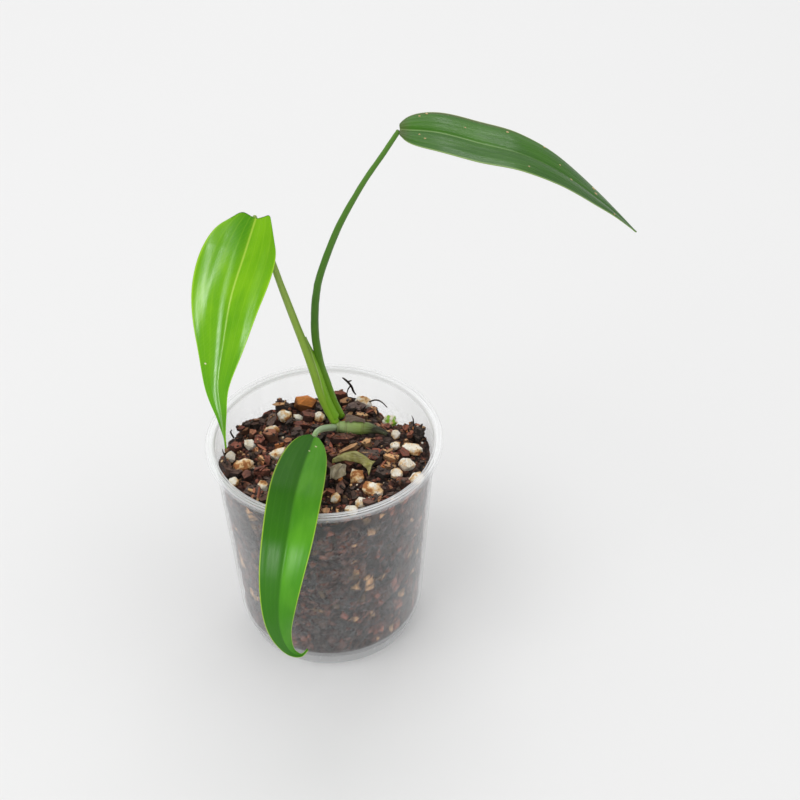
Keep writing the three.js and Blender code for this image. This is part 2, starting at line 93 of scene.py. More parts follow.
def hashed(cells: np.ndarray, seed: int) -> np.ndarray:
    """Even scatter of numbers from -1 to 1 over whole-number cells.

    Args:
        cells: Whole-number places, three to a row.
        seed: Which scatter.

    Returns:
        One number for each row.
    """
    mixed = (cells[:, 0] * 374761393 + cells[:, 1] * 668265263 + cells[:, 2] * 1440662683 + seed * 974711)
    mixed = (mixed ^ (mixed >> 13)) & 0xFFFFFFFF
    mixed = (mixed * 1274126177) & 0xFFFFFFFF
    mixed = (mixed ^ (mixed >> 16)) & 0xFFFF
    return mixed / 32767.5 - 1


def lumps(points: np.ndarray, size: float | Sequence[float], seed: int) -> np.ndarray:
    """Smooth lumps from -1 to 1 over space.

    Args:
        points: Places in millimetres, in an array of any form.
        size: Size of a lump, or its size along each axis.
        seed: Which pattern.

    Returns:
        One height for each place, in the form of the places.
    """
    place = points.reshape(-1, 3) / np.asarray(size, float)
    cell = np.floor(place).astype(np.int64)
    part = place - cell
    part = part * part * (3 - 2 * part)
    total = np.zeros(len(place))
    for corner in itertools.product((0, 1), repeat=3):
        weight = np.where(np.array(corner), part, 1 - part).prod(1)
        total += weight * hashed(cell + np.array(corner), seed)
    return total.reshape(points.shape[:-1])


def unit(vectors: np.ndarray) -> np.ndarray:
    """Vectors brought to length one."""
    return vectors / np.maximum(np.linalg.norm(vectors, axis=-1, keepdims=True), 1e-12)


def spin(degrees: float) -> np.ndarray:
    """Turn about the Z axis as a matrix."""
    return np.array(Matrix.Rotation(math.radians(degrees), 3, "Z"))


def spread(*parts: float | np.ndarray) -> np.ndarray:
    """Places from coordinates that are given along the rows, along the columns or for all."""
    return np.stack(np.broadcast_arrays(*parts), -1)


def round_angles(sides: int) -> np.ndarray:
    """Even angles round a circle, in radians."""
    return np.arange(sides) * 2 * math.pi / sides


def rings_about(radius: float | np.ndarray, height: np.ndarray, sides: int) -> np.ndarray:
    """Rings of points about the Z axis, rows by sides by three."""
    angle = round_angles(sides)
    return spread(radius * np.cos(angle), radius * np.sin(angle), height)


@dataclass
class Draw:
    """Repeatable numbers from 0 to 1, the same scatter that the frame's grains were drawn with."""

    state: int

    def __call__(self) -> float:
        """Next number."""
        self.state = (self.state * 1664525 + 1013904223) % 4294967296
        return self.state / 4294967296

    def between(self, low: float, high: float) -> float:
        """Next number, between two bounds."""
        return low + (high - low) * self()


class Spline:
    """Smooth line through stations, read by share of the stations or of the length."""

    def __init__(self, stations: Sequence[Row]) -> None:
        """Takes the stations.

        Args:
            stations: Places, or single numbers, in order.
        """
        given = np.array(stations, float)
        self.count = len(given)
        self.points = np.vstack([2 * given[0] - given[1], given, 2 * given[-1] - given[-2]])
        steps = self.at(np.linspace(0, 1, 401))
        lengths = np.linalg.norm(np.diff(steps, axis=0), axis=1)
        self.run = np.concatenate([[0], np.cumsum(lengths)])

    @property
    def length(self) -> float:
        """Length of the line."""
        return float(self.run[-1])

    def at(self, share: np.ndarray) -> np.ndarray:
        """Places on the line.

        Args:
            share: Shares of the stations, from 0 to 1.

        Returns:
            One row for each share.
        """
        place = np.clip(np.asarray(share, float), 0, 1) * (self.count - 1)
        cell = np.minimum(place.astype(int), self.count - 2)
        t = (place - cell)[:, None]
        before, start, end, after = (self.points[cell + k] for k in range(4))
        lean_in, lean_out = (end - before) / 2, (after - start) / 2
        cubic = 2 * start - 2 * end + lean_in + lean_out
        square = -3 * start + 3 * end - 2 * lean_in - lean_out
        return start + t * (lean_in + t * (square + t * cubic))

    def heading(self, share: np.ndarray) -> np.ndarray:
        """Directions of the line at shares of the stations."""
        share = np.asarray(share, float)
        return unit(self.at(np.minimum(share + 1e-4, 1)) - self.at(np.maximum(share - 1e-4, 0)))

    def share_of(self, way: np.ndarray) -> np.ndarray:
        """Shares of the stations at shares of the length."""
        return np.interp(np.asarray(way, float) * self.length, self.run, np.linspace(0, 1, len(self.run)))


@dataclass
class Shape:
    """Points in millimetres, the faces between them, and what each point carries for its finish."""

    points: np.ndarray
    faces: Faces
    carried: dict[str, np.ndarray] = field(default_factory=dict)

    def __post_init__(self) -> None:
        """Lays the points, and what each of them carries, in rows of three."""
        self.points = self.points.reshape(-1, 3)
        self.carried = {name: np.broadcast_to(np.reshape(values, (-1, 3)), self.points.shape)
                        for name, values in self.carried.items()}

    @staticmethod
    def joined(shapes: Sequence["Shape"]) -> "Shape":
        """Several shapes as one.

        Args:
            shapes: Shapes that carry the same values.

        Returns:
            One shape with all their points and faces.
        """
        faces: Faces = []
        start = 0
        for shape in shapes:
            faces.extend([[start + k for k in face] for face in shape.faces])
            start += len(shape.points)
        names = shapes[0].carried
        carried = {name: np.vstack([shape.carried[name] for shape in shapes]) for name in names}
        return Shape(np.vstack([shape.points for shape in shapes]), faces, carried)

    def made(self, name: str) -> bpy.types.Object:
        """Object with this shape, in metres, its faces outward.

        Args:
            name: Name of the object.

        Returns:
            The linked object.
        """
        mesh = bpy.data.meshes.new(name)
        mesh.from_pydata((self.points * MM).tolist(), [], self.faces)
        for label, values in self.carried.items():
            layer = mesh.attributes.new(label, "FLOAT_VECTOR", "POINT")
            layer.data.foreach_set("vector", values.astype(np.float32).ravel())
        editor = bmesh.new()
        editor.from_mesh(mesh)
        bmesh.ops.recalc_face_normals(editor, faces=editor.faces)
        editor.to_mesh(mesh)
        editor.free()
        piece = bpy.data.objects.new(name, mesh)
        bpy.context.scene.collection.objects.link(piece)
        return piece


def skin(rows: int, ring: int, caps: bool = True) -> Faces:
    """Faces round a stack of rings.

    Args:
        rows: How many rings.
        ring: Points in each ring.
        caps: Whether the first and last ring are closed.

    Returns:
        Faces by point number, ring after ring.
    """
    start = np.arange(rows - 1)[:, None] * ring
    step = np.arange(ring)[None, :]
    here, there = start + step, start + (step + 1) % ring
    faces = np.stack([here, there, there + ring, here + ring], -1).reshape(-1, 4).tolist()
    if caps:
        last = (rows - 1) * ring
        faces += [list(range(ring))[::-1], list(range(last, last + ring))]
    return faces


def closed_round(rings: np.ndarray, low: float, high: float) -> tuple[np.ndarray, Faces]:
    """Skin over rings about the Z axis, closed by a point on the axis at both ends.

    Args:
        rings: Places, rows by sides by three.
        low: Height of the point before the first ring.
        high: Height of the point after the last one.

    Returns:
        Points and faces.
    """
    rows, ring = rings.shape[:2]
    count = rows * ring
    faces = skin(rows, ring, caps=False)
    for pole, start in ((count, 0), (count + 1, count - ring)):
        faces += [[pole, start + k, start + (k + 1) % ring] for k in range(ring)]
    return np.vstack([rings.reshape(-1, 3), [[0, 0, low], [0, 0, high]]]), faces


class Smoothness(Enum):
    """How a piece's faces meet in the light."""

    SOFT = 180.0
    WORN = 38.0
    CRISP = 24.0


def dress(shape: Shape, name: str, node: str, finish: bpy.types.Material,
          smoothness: Smoothness = Smoothness.SOFT) -> bpy.types.Object:
    """Makes a piece, gives it its finish and ties it to the frame.

    Args:
        shape: The piece's shape.
        name: The piece's name.
        node: Frame node that it stands for.
        finish: Material.
        smoothness: How its faces meet.

    Returns:
        The piece.
    """
    piece = shape.made(name)
    piece.data.materials.append(finish)
    piece.data.shade_smooth()
    if smoothness is not Smoothness.SOFT:
        piece.data.set_sharp_from_angle(angle=math.radians(smoothness.value))
    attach(piece, "root")
    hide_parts(node)
    LOG.info("%s: %d points, %d faces", name, len(piece.data.vertices), len(piece.data.polygons))
    return piece


class Value:
    """Output of a node, to be written in sums like a number."""

    def __init__(self, bench: "Bench", socket: bpy.types.NodeSocket) -> None:
        """Takes the output and the bench that it is on."""
        self.bench = bench
        self.socket = socket

    def __add__(self, other: "Feed") -> "Value":
        """This and another."""
        return self.bench.sum("ADD", self, other)

    def __sub__(self, other: "Feed") -> "Value":
        """This less another."""
        return self.bench.sum("SUBTRACT", self, other)

    def __rsub__(self, other: float) -> "Value":
        """A number less this."""
        return self.bench.sum("SUBTRACT", other, self)

    def __mul__(self, other: "Feed") -> "Value":
        """This times another."""
        return self.bench.sum("MULTIPLY", self, other)

    def __pow__(self, other: float) -> "Value":
        """This to a power."""
        return self.bench.sum("POWER", self, other)

    def __abs__(self) -> "Value":
        """This without its sign."""
        return self.bench.sum("ABSOLUTE", self)


Feed = Value | float | Sequence[float]
# A stretch that leaves a place as it is
EVEN = (1.0, 1.0, 1.0)


class Bench:
    """Sets out and joins the nodes of one material or node group."""

    def __init__(self, tree: bpy.types.NodeTree) -> None:
        """Takes the tree that the nodes go in."""
        self.tree = tree

    def feed(self, socket: bpy.types.NodeSocket, value: Feed) -> None:
        """Gives an input a plain value or another node's output.

        Args:
            socket: The input.
            value: A number, colour or vector, or a node's output.
        """
        if isinstance(value, Value):
            self.tree.links.new(value.socket, socket)
        else:
            socket.default_value = value

    def add(self, kind: str, inputs: dict[str | int, Feed], **settings: object) -> bpy.types.Node:
        """Adds a node.

        Args:
            kind: Kind of shader node, without its prefix.
            inputs: Values by input name or number.
            **settings: Settings of the node.

        Returns:
            The node.
        """
        node = self.tree.nodes.new("ShaderNode" + kind)
        for name, setting in settings.items():
            setattr(node, name, setting)
        for key, value in inputs.items():
            self.feed(node.inputs[key], value)
        return node

    def put(self, kind: str, inputs: dict[str | int, Feed], output: int | str = 0,
            **settings: object) -> Value:
        """One output, by name or number, of a node that is added."""
        return Value(self, self.add(kind, inputs, **settings).outputs[output])

    def outputs(self, node: bpy.types.Node) -> dict[str, Value]:
        """All outputs of a node by name."""
        return {socket.name: Value(self, socket) for socket in node.outputs}

    def use(self, group: bpy.types.NodeTree, inputs: dict[str | int, Feed]) -> dict[str, Value]:
        """Outputs of a node group that is placed with these inputs."""
        return self.outputs(self.add("Group", inputs, node_tree=group))

    def sum(self, operation: str, *values: Feed, clamp: bool = False) -> Value:
        """Result of a Math node, held within 0 and 1 if clamped."""
        return self.put("Math", dict(enumerate(values)), operation=operation, use_clamp=clamp)

    def step(self, value: Feed, low: float, high: float, first: float = 0.0, last: float = 1.0) -> Value:
        """Soft step of a value between low and high, from the first result to the last."""
        inputs = {0: value, 1: low, 2: high, 3: first, 4: last}
        return self.put("MapRange", inputs, interpolation_type="SMOOTHSTEP")

    def tint(self, amount: Feed, under: Feed, over: Feed, mode: str = "MIX") -> Value:
        """One colour laid over another, by an amount from 0 to 1."""
        return self.put("Mix", {0: amount, 6: under, 7: over}, 2, data_type="RGBA", blend_type=mode)

    def ramp(self, value: Feed, stops: Sequence[tuple[float, Colour]]) -> Value:
        """Colour picked from a row of stops.

        Args:
            value: Place in the row, from 0 to 1.
            stops: Place and colour of each stop.

        Returns:
            The output.
        """
        node = self.add("ValToRGB", {0: value})
        row = node.color_ramp.elements
        for number, (place, colour) in enumerate(stops):
            stop = row[number] if number < 2 else row.new(place)
            stop.position = place
            stop.color = colour
        return Value(self, node.outputs[0])

    def carried(self, name: str) -> Value:
        """What a piece's points carry under a name, as a vector."""
        return self.put("Attribute", {}, "Vector", attribute_name=name)

    def parts(self, vector: Value) -> tuple[Value, Value, Value]:
        """The three numbers of a vector."""
        split = self.add("SeparateXYZ", {0: vector}).outputs
        return Value(self, split[0]), Value(self, split[1]), Value(self, split[2])

    def stretched(self, place: Feed, factors: Row) -> Value:
        """A place with each axis multiplied."""
        return self.put("Mapping", {"Vector": place, "Scale": factors})

    def grain(self, place: Feed, stretch: Row, scale: float, detail: float = 3.0,
              roughness: float = 0.55) -> Value:
        """Noise from 0 to 1 over a place that is first stretched."""
        inputs = {"Scale": scale, "Detail": detail, "Roughness": roughness}
        return self.put("TexNoise", {"Vector": self.stretched(place, stretch), **inputs})

    def cells(self, place: Feed, scale: float) -> Value:
        """Distance to the nearest of scattered points."""
        return self.put("TexVoronoi", {"Vector": place, "Scale": scale}, "Distance")

    def relief(self, height: Feed, depth: float, strength: float) -> Value:
        """Normal with small relief, its depth in metres."""
        return self.put("Bump", {"Strength": strength, "Distance": depth, "Height": height})

    def coat(self, inputs: dict[str | int, Feed], glow: Colour | None = None, share: float = 0.0) -> None:
        """Ends a material with its surface.

        Args:
            inputs: Values of the surface by input name.
            glow: Colour of light that comes through, or None for no light.
            share: How much of the surface lets light through.
        """
        surface = self.put("BsdfPrincipled", inputs)
        if glow is not None:
            through = self.put("BsdfTranslucent", {"Color": glow})
            surface = self.put("MixShader", {0: share, 1: surface, 2: through})
        self.add("OutputMaterial", {0: surface})

    def deliver(self, results: dict[str, Feed]) -> bpy.types.NodeTree:
        """Ends a node group with its results.

        Args:
            results: Values by output name.

        Returns:
            The group.
        """
        end = self.tree.nodes.new("NodeGroupOutput")
        for name, value in results.items():
            self.feed(end.inputs[name], value)
        return self.tree


def material(name: str) -> tuple[bpy.types.Material, Bench]:
    """Empty material and the bench for its nodes.

    Args:
        name: Name of the material.

    Returns:
        The material and its bench.
    """
    made = bpy.data.materials.new(name)
    made.use_nodes = True
    made.node_tree.nodes.clear()
    return made, Bench(made.node_tree)


def new_group(name: str, inputs: dict[str, str], outputs: dict[str, str]) -> tuple[Bench, dict[str, Value]]:
    """Empty node group with named sockets.

    Args:
        name: Name of the group.
        inputs: Kind of each input by name.
        outputs: Kind of each output by name.

    Returns:
        The group's bench, and what it is given by name.
    """
    tree = bpy.data.node_groups.new(name, "ShaderNodeTree")
    for way, sockets in (("INPUT", inputs), ("OUTPUT", outputs)):
        for label, kind in sockets.items():
            tree.interface.new_socket(label, in_out=way, socket_type="NodeSocket" + kind)
    bench = Bench(tree)
    return bench, bench.outputs(tree.nodes.new("NodeGroupInput"))


@lru_cache(maxsize=None)
def mottle_group() -> bpy.types.NodeTree:
    """Group that lets a colour drift in soft clouds and fine flecks.

    Returns:
        The group, with inputs for the colours, the place and the sizes.
    """
    bench, given = new_group(
        "mottle",
        {"Main": "Color", "Cloud": "Color", "Fleck": "Color", "Place": "Vector",
         "Cloud Scale": "Float", "Fleck Scale": "Float", "Flecks": "Float"},
        {"Color": "Color"})
    place = given["Place"]
    clouds = bench.put("TexNoise", {"Vector": place, "Scale": given["Cloud Scale"], "Detail": 3.0})
    colour = bench.tint(bench.step(clouds, 0.35, 0.68), given["Main"], given["Cloud"])
    flecks = bench.put("TexNoise", {"Vector": place, "Scale": given["Fleck Scale"], "Detail": 2.0})
    mask = bench.step(flecks, 0.58, 0.72) * given["Flecks"]
    return bench.deliver({"Color": bench.tint(mask, colour, given["Fleck"])})


@lru_cache(maxsize=None)
def fibre_group() -> bpy.types.NodeTree:
    """Group that draws fibres along one axis, as in bark, dry sheaths and stalks.

    Returns:
        The group, with one mask for the broad fibres and one for the fine ones.
    """
    bench, given = new_group(
        "fibres",
        {"Place": "Vector", "Along": "Float", "Scale": "Float"},
        {"Broad": "Float", "Fine": "Float"})
    along, across, through = bench.parts(given["Place"])
    place = bench.put("CombineXYZ", {0: along * given["Along"], 1: across, 2: through})
    masks = {}
    for label, factor, detail in (("Broad", 1.0, 2.0), ("Fine", 3.6, 3.0)):
        scale = given["Scale"] * factor
        noise = bench.put("TexNoise", {"Vector": place, "Scale": scale, "Detail": detail, "Roughness": 0.6})
        masks[label] = bench.step(noise, 0.32, 0.68)
    return bench.deliver(masks)


@lru_cache(maxsize=None)
def vein_group() -> bpy.types.NodeTree:
    """Group that draws the rib, the long veins, the side veins and the margin of a blade.

    Returns:
        The group; its inputs are the blade's carried places.
    """
    bench, given = new_group(
        "veins",
        dict.fromkeys(("Share Along", "Share Across", "Along", "Across", "Rib Width", "Wander"), "Float"),
        dict.fromkeys(("Rib", "Long Veins", "Side Veins", "Margin"), "Float"))
    share, side, across = given["Share Along"], abs(given["Share Across"]), abs(given["Across"])
    drift = (given["Wander"] - 0.5) * 0.16
    middle = bench.step(bench.sum("DIVIDE", across, given["Rib Width"]), 0.2, 1.0, 1.0, 0.0)
    far = abs(bench.sum("FRACT", side ** 0.8 * LONG_VEINS + drift) - 0.5)
    veins = bench.step(far, 0.0, 0.13, 1.0, 0.0) * bench.step(side, 0.1, 0.25)
    veins = veins * (1.0 - share) ** 0.7 * bench.step(side, 0.8, 0.95, 1.0, 0.0)
    slant = given["Along"] - across * 1.9
    near = abs(bench.sum("FRACT", slant * 0.42 + drift * 4.0) - 0.5)
    return bench.deliver({
        "Rib": middle * bench.step(share, 0.2, 0.65, 1.0, 0.12),
        "Long Veins": veins,
        "Side Veins": bench.step(near, 0.0, 0.22, 1.0, 0.0),
        "Margin": bench.step(side, 0.955, 0.99)})


@dataclass(frozen=True)
class BladeFinish:
    """Living skin of a leaf blade: veined, half gloss, a little light through it. Painted shade darkens one
    half of the blade and the crease beside the rib at its base.
    """

    name: str
    blade: Colour
    cloud: Colour
    # Darker green, laid on towards the tip and as the painted shade
    shade: Colour
    vein: Colour
    rib: Colour
    margin: Colour
    underside: Colour
    flush: Colour
    rib_width: float = 0.9
    rib_show: float = 0.7
    vein_show: float = 0.3
    shade_show: float = 0.5
    flush_show: float = 0.0
    painted_shade_half_show: float = 0.0
    crease_painted_shade_show: float = 0.0
    gloss: float = 0.3
    speck: Colour = paint("c9c79a")

    def made(self) -> bpy.types.Material:
        """Material for both faces of the blade.

        Returns:
            The material.
        """
        made, bench = material(self.name)
        share, cross, side = bench.parts(bench.carried("leaf_share"))
        place = bench.carried("leaf_place")
        along, across, fleck = bench.parts(place)
        wander = bench.grain(place, (0.03, 0.16, 1.0), 1.0, 2.0)
        veins = bench.use(vein_group(), {
            "Share Along": share, "Share Across": cross, "Along": along, "Across": across,
            "Rib Width": self.rib_width, "Wander": wander})
        body = bench.use(mottle_group(), {
            "Main": self.blade, "Cloud": self.cloud, "Fleck": self.vein,
            "Place": bench.stretched(place, (0.35, 1.0, 1.0)),
            "Cloud Scale": 0.14, "Fleck Scale": 2.6, "Flecks": 0.16})
        low = bench.step(share + wander * 0.3, 0.4, 0.95) * self.shade_show
        # Painted shade: the half on one side of the rib is darkened
        painted_shade_half = bench.step(cross, -0.08, 0.1) * self.painted_shade_half_show
        # Painted shade in the crease beside the rib, near the base
        hollow = bench.step(cross, 0.0, 0.2) * bench.step(cross, 0.4, 0.95, 1.0, 0.0)
        hollow = hollow * bench.step(share, 0.03, 0.26, self.crease_painted_shade_show, 0.0)
        colour = body["Color"]
        for amount in (low, painted_shade_half, hollow):
            colour = bench.tint(amount, colour, self.shade)
        colour = bench.tint(veins["Side Veins"] * (self.vein_show * 0.35), colour, self.vein)
        colour = bench.tint(veins["Long Veins"] * self.vein_show, colour, self.vein)
        colour = bench.tint(veins["Rib"] * self.rib_show, colour, self.rib)
        under = bench.step(side, -0.2, 0.2, 1.0, 0.0)
        below = bench.tint(veins["Rib"] * 0.6, self.underside, self.vein)
        below = bench.tint(veins["Long Veins"] * 0.35, below, self.vein)
        colour = bench.tint(under, colour, below)
        blush = bench.step(cross, -1.0, -0.84, 1.0, 0.0) * bench.step(share, 0.3, 0.6, 1.0, 0.0)
        blush = bench.sum("MAXIMUM", blush, bench.step(share, 0.0, 0.05, 0.5, 0.0)) * self.flush_show
        colour = bench.tint(blush, colour, self.flush)
        colour = bench.tint(veins["Margin"] * 0.75, colour, self.margin)
        colour = bench.tint(bench.step(fleck, 0.4, 0.6), colour, self.speck)
        streak = bench.grain(place, (0.1, 1.0, 1.0), 2.4)
        height = bench.cells(place, 3.4) * 0.35 + streak - veins["Side Veins"] * 0.1
        bench.coat({"Base Color": colour, "Specular IOR Level": 0.18,
                    "Roughness": (streak - 0.5) * 0.16 + self.gloss + under * 0.2,
                    "Normal": bench.relief(height, 0.00004, 0.8)}, self.cloud, 0.14)
        return made


@dataclass(frozen=True)
class StalkFinish:
    """Living skin of a stem or petiole: fine length-wise streaks, scars and a change of colour along it. On a
    stalk one side is darkened with painted shade; on a sheath the same mark is its pale margin.
    """

    name: str
    foot: Colour
    middle: Colour
    head: Colour
    streak: Colour
    # Colour of the painted shade down one side of a stalk, and of a sheath's pale margin
    edge: Colour
    scar: Colour
    gloss: float = 0.38
    streak_show: float = 0.4
    painted_side_shade_and_margin_show: float = 0.0
    edge_from: float = 0.15
    edge_low: float = 0.0
    middle_at: float = 0.45
    head_at: float = 1.0

    def made(self) -> bpy.types.Material:
        """Material for the stalk.

        Returns:
            The material.
        """
        made, bench = material(self.name)
        place = bench.carried("stalk_place")
        share, scar, side = bench.parts(bench.carried("stalk_share"))
        fibres = bench.use(fibre_group(), {"Place": place, "Along": 0.05, "Scale": 1.1})
        sway = (bench.grain(place, (0.06, 0.4, 0.4), 1.0) - 0.5) * 0.18
        colour = bench.ramp(share + sway, [
            (0.0, self.foot), (self.middle_at, self.middle), (self.head_at, self.head)])
        colour = bench.tint(fibres["Broad"] * self.streak_show, colour, self.streak)
        colour = bench.tint(fibres["Fine"] * (self.streak_show * 0.35), colour, self.head)
        # Painted shade down one side of a stalk; on a sheath this is its pale margin
        edge = bench.step(side, self.edge_from, 0.95) * self.painted_side_shade_and_margin_show
        edge = edge * bench.step(share, self.edge_low - 0.1, self.edge_low)
        colour = bench.tint(edge, colour, self.edge)
        spots = bench.cells(bench.stretched(place, (0.45, 1.0, 1.0)), 0.9)
        colour = bench.tint(bench.step(spots, 0.06, 0.11, 0.4, 0.0), colour, self.streak)
        colour = bench.tint(scar, colour, self.scar)
        height = fibres["Fine"] + fibres["Broad"] * 0.8
        bench.coat({"Base Color": colour, "Specular IOR Level": 0.32,
                    "Roughness": fibres["Fine"] * 0.14 + self.gloss + scar * 0.25,
                    "Normal": bench.relief(height, 0.00005, 0.7)})
        return made


@dataclass(frozen=True)
class PaperFinish:
    """Dry plant skin: fibrous, dull and thin enough to let light through."""

    name: str
    main: Colour
    pale: Colour
    dark: Colour
    through: float = 0.25

    def made(self) -> bpy.types.Material:
        """Material for a dry sheet.

        Returns:
            The material.
        """
        made, bench = material(self.name)
        place = bench.carried("grain_place")
        fibres = bench.use(fibre_group(), {"Place": place, "Along": 0.15, "Scale": 0.55})
        body = bench.use(mottle_group(), {
            "Main": self.main, "Cloud": self.pale, "Fleck": self.dark, "Place": place,
            "Cloud Scale": 0.35, "Fleck Scale": 1.4, "Flecks": 0.6})
        colour = bench.tint(fibres["Broad"] * 0.85, body["Color"], self.dark)
        colour = bench.tint(fibres["Fine"] * 0.45, colour, self.pale)
        height = fibres["Fine"] + fibres["Broad"]
        bench.coat({"Base Color": colour, "Roughness": 0.72, "Normal": bench.relief(height, 0.00012, 0.9)},
                   self.main, self.through)
        return made


@dataclass(frozen=True)
class BarkFinish:
    """Composted bark, from black through maroon to tan, by the tone that each chip carries. Faces that look
    up are lightened and side faces darkened as painted light and shade.
    """

    name: str = "bark_mix"
    crack: Colour = paint("140c0c")
    frayed: Colour = paint("b79a80")
    dusty: Colour = paint("a2836a")

    # Tone of a chip and its colour
    TONES = ((0.0, "221b1d"), (0.18, "3d3233"), (0.34, "4c3029"), (0.48, "6e3126"), (0.6, "84442f"),
             (0.72, "976548"), (0.86, "c39a6a"), (0.91, "a85a26"), (1.0, "d9822e"))

    def made(self) -> bpy.types.Material:
        """Material for chips, slivers and the bed beneath them.

        Returns:
            The material.
        """
        made, bench = material(self.name)
        place = bench.carried("grain_place")
        tone, light, wet = bench.parts(bench.carried("tone"))
        fibres = bench.use(fibre_group(), {"Place": place, "Along": 0.16, "Scale": 0.9})
        drift = (bench.grain(place, (0.3, 0.8, 0.8), 0.7) - 0.5) * 0.26
        colour = bench.ramp(tone + drift, [(at, paint(code)) for at, code in self.TONES])
        colour = bench.tint(fibres["Broad"] * (0.6 - tone * 0.28), colour, self.crack)
        colour = bench.tint(fibres["Fine"] * 0.3, colour, bench.tint(0.5, colour, self.frayed))
        # Painted light and shade: faces that look up are lightened, side and lower faces darkened
        up = bench.parts(bench.put("NewGeometry", {}, "Normal"))[2]
        light = light * bench.step(up, 0.1, 0.95, 0.42, 1.7)
        shade = bench.put("CombineXYZ", {0: light, 1: light, 2: light})
        colour = bench.tint(1.0, colour, shade, "MULTIPLY")
        dust = bench.put("TexNoise", {"Vector": place, "Scale": 2.2, "Detail": 3.0, "Roughness": 0.7})
        colour = bench.tint(bench.step(dust, 0.62, 0.74, 0.0, 0.45), colour, self.dusty)
        bench.coat({"Base Color": colour, "Roughness": 0.86 - wet * 0.4, "Specular IOR Level": 0.4,
                    "Normal": bench.relief(fibres["Fine"] + dust * 1.2, 0.00022, 0.9)})
        return made


@dataclass(frozen=True)
class PerliteFinish:
    """Puffed perlite: cream white, pitted, with rust stains, and green with algae on one grain."""

    name: str = "perlite"
    white: Colour = paint("f6f1e6")
    cream: Colour = paint("eadfc8")
    buff: Colour = paint("c9b391")
    dull: Colour = paint("b7aca0")
    straw: Colour = paint("dcae6c")
    rusty: Colour = paint("9a5a2c")
    mossy: Colour = paint("84b034")
    hole: Colour = paint("8a6a4c")

    def made(self) -> bpy.types.Material:
        """Material for the grains.

        Returns:
            The material.
        """
        made, bench = material(self.name)
        place = bench.carried("grain_place")
        stain, algae, grey = bench.parts(bench.carried("tone"))
        body = bench.use(mottle_group(), {
            "Main": self.white, "Cloud": self.cream, "Fleck": self.buff, "Place": place,
            "Cloud Scale": 0.45, "Fleck Scale": 2.4, "Flecks": 0.5})
        colour = bench.tint(grey * 0.6, body["Color"], self.dull)
        rust = bench.grain(place, EVEN, 0.26) + stain * 0.2
        colour = bench.tint(bench.step(rust, 0.52, 0.66, 0.0, 0.85), colour, self.straw)
        colour = bench.tint(bench.step(rust, 0.65, 0.73, 0.0, 0.9), colour, self.rusty)
        moss = bench.step(bench.grain(place, EVEN, 0.4), 0.43, 0.57) * algae
        colour = bench.tint(moss, colour, self.mossy)
        colour = bench.tint(bench.step(bench.cells(place, 0.62), 0.1, 0.2, 0.75, 0.0), colour, self.hole)
        height = bench.cells(place, 1.5) * 0.7 + bench.grain(place, EVEN, 2.6, 4.0)
        bench.coat({"Base Color": colour, "Roughness": 0.82, "Specular IOR Level": 0.3,
                    "Normal": bench.relief(height, 0.0003, 0.9)})
        return made


@dataclass(frozen=True)
class PlasticFinish:
    """Clear, slightly milky nursery-pot plastic, hazier where the wall is seen edge on.

    Each row of heights says where a change starts and ends, in metres as the shader reads them.
    """

    name: str = "clear_plastic"
    colour: Colour = paint("f3f4f5")
    haze: float = 0.02
    edge_haze: float = 0.45
    # Radii in millimetres of thin white haze lines at the lip's edges: painted highlights
    rim_highlight_lines: Row = (46.2, 47.6, 48.9)
    rim_milk: Row = (0.0968, 0.0982)
    rim_highlight_rise: Row = (0.0955, 0.097)
    grit_from: Row = (0.0095, 0.0125)
    grit_until: Row = (0.0865, 0.0895)
    foot_clear: Row = (0.006, 0.012)
    foot_painted_light_haze: Row = (0.006, 0.0085)

    def made(self) -> bpy.types.Material:
        """Material for the pot.

        Returns:
            The material.
        """
        made, bench = material(self.name)
        place = bench.put("NewGeometry", {}, "Position")
        height = bench.parts(place)[2]
        flow = bench.grain(place, (1.0, 1.0, 0.25), 90.0)
        scuff = bench.grain(place, EVEN, 420.0, 4.0, 0.65)
        speckle = bench.grain(place, EVEN, 1100.0, 2.0, 0.6)
        film = bench.put("TexNoise", {"Vector": place, "Scale": 80.0, "Detail": 6.0, "Roughness": 0.72,
                                      "Distortion": 1.6})
        rim = bench.step(height, *self.rim_milk, 0.0, 0.08)
        flat = bench.put("VectorMath", {0: place, 1: (1.0, 1.0, 0.0)}, operation="MULTIPLY")
        radius = bench.put("VectorMath", {0: flat}, "Value", operation="LENGTH")
        # Painted highlights: thin white lines of haze at the lip's edges
        for ring in self.rim_highlight_lines:
            line = bench.step(abs(radius - ring * MM), 0.0001, 0.0003, 0.42, 0.0)
            rim = rim + line * bench.step(height, *self.rim_highlight_rise)
        edge = bench.put("LayerWeight", {"Blend": 0.5}, "Facing") ** 2.6
        haze = edge * self.edge_haze + self.haze + (flow - 0.5) * 0.08
        haze = haze + bench.step(scuff, 0.6, 0.75, 0.0, 0.04)
        grit = bench.step(abs(film - 0.52), 0.0, 0.02, 0.08, 0.0) + (speckle - 0.5) * 0.24
        grit = grit * bench.step(height, *self.grit_from) * bench.step(height, *self.grit_until, 1.0, 0.05)
        haze = (haze + grit) * bench.step(height, *self.foot_clear, 0.45, 1.0)
        # Painted light: white haze low on the foot lightens the floor's shadow seen through it
        haze = haze + bench.step(height, *self.foot_painted_light_haze, 0.3, 0.0)
        bench.coat({"Base Color": self.colour, "Roughness": scuff * 0.18 + 0.16,
                    "Alpha": bench.sum("ADD", haze, rim, clamp=True),
                    "Normal": bench.relief(flow, 0.0001, 0.25), "Specular IOR Level": 0.5})
        return made


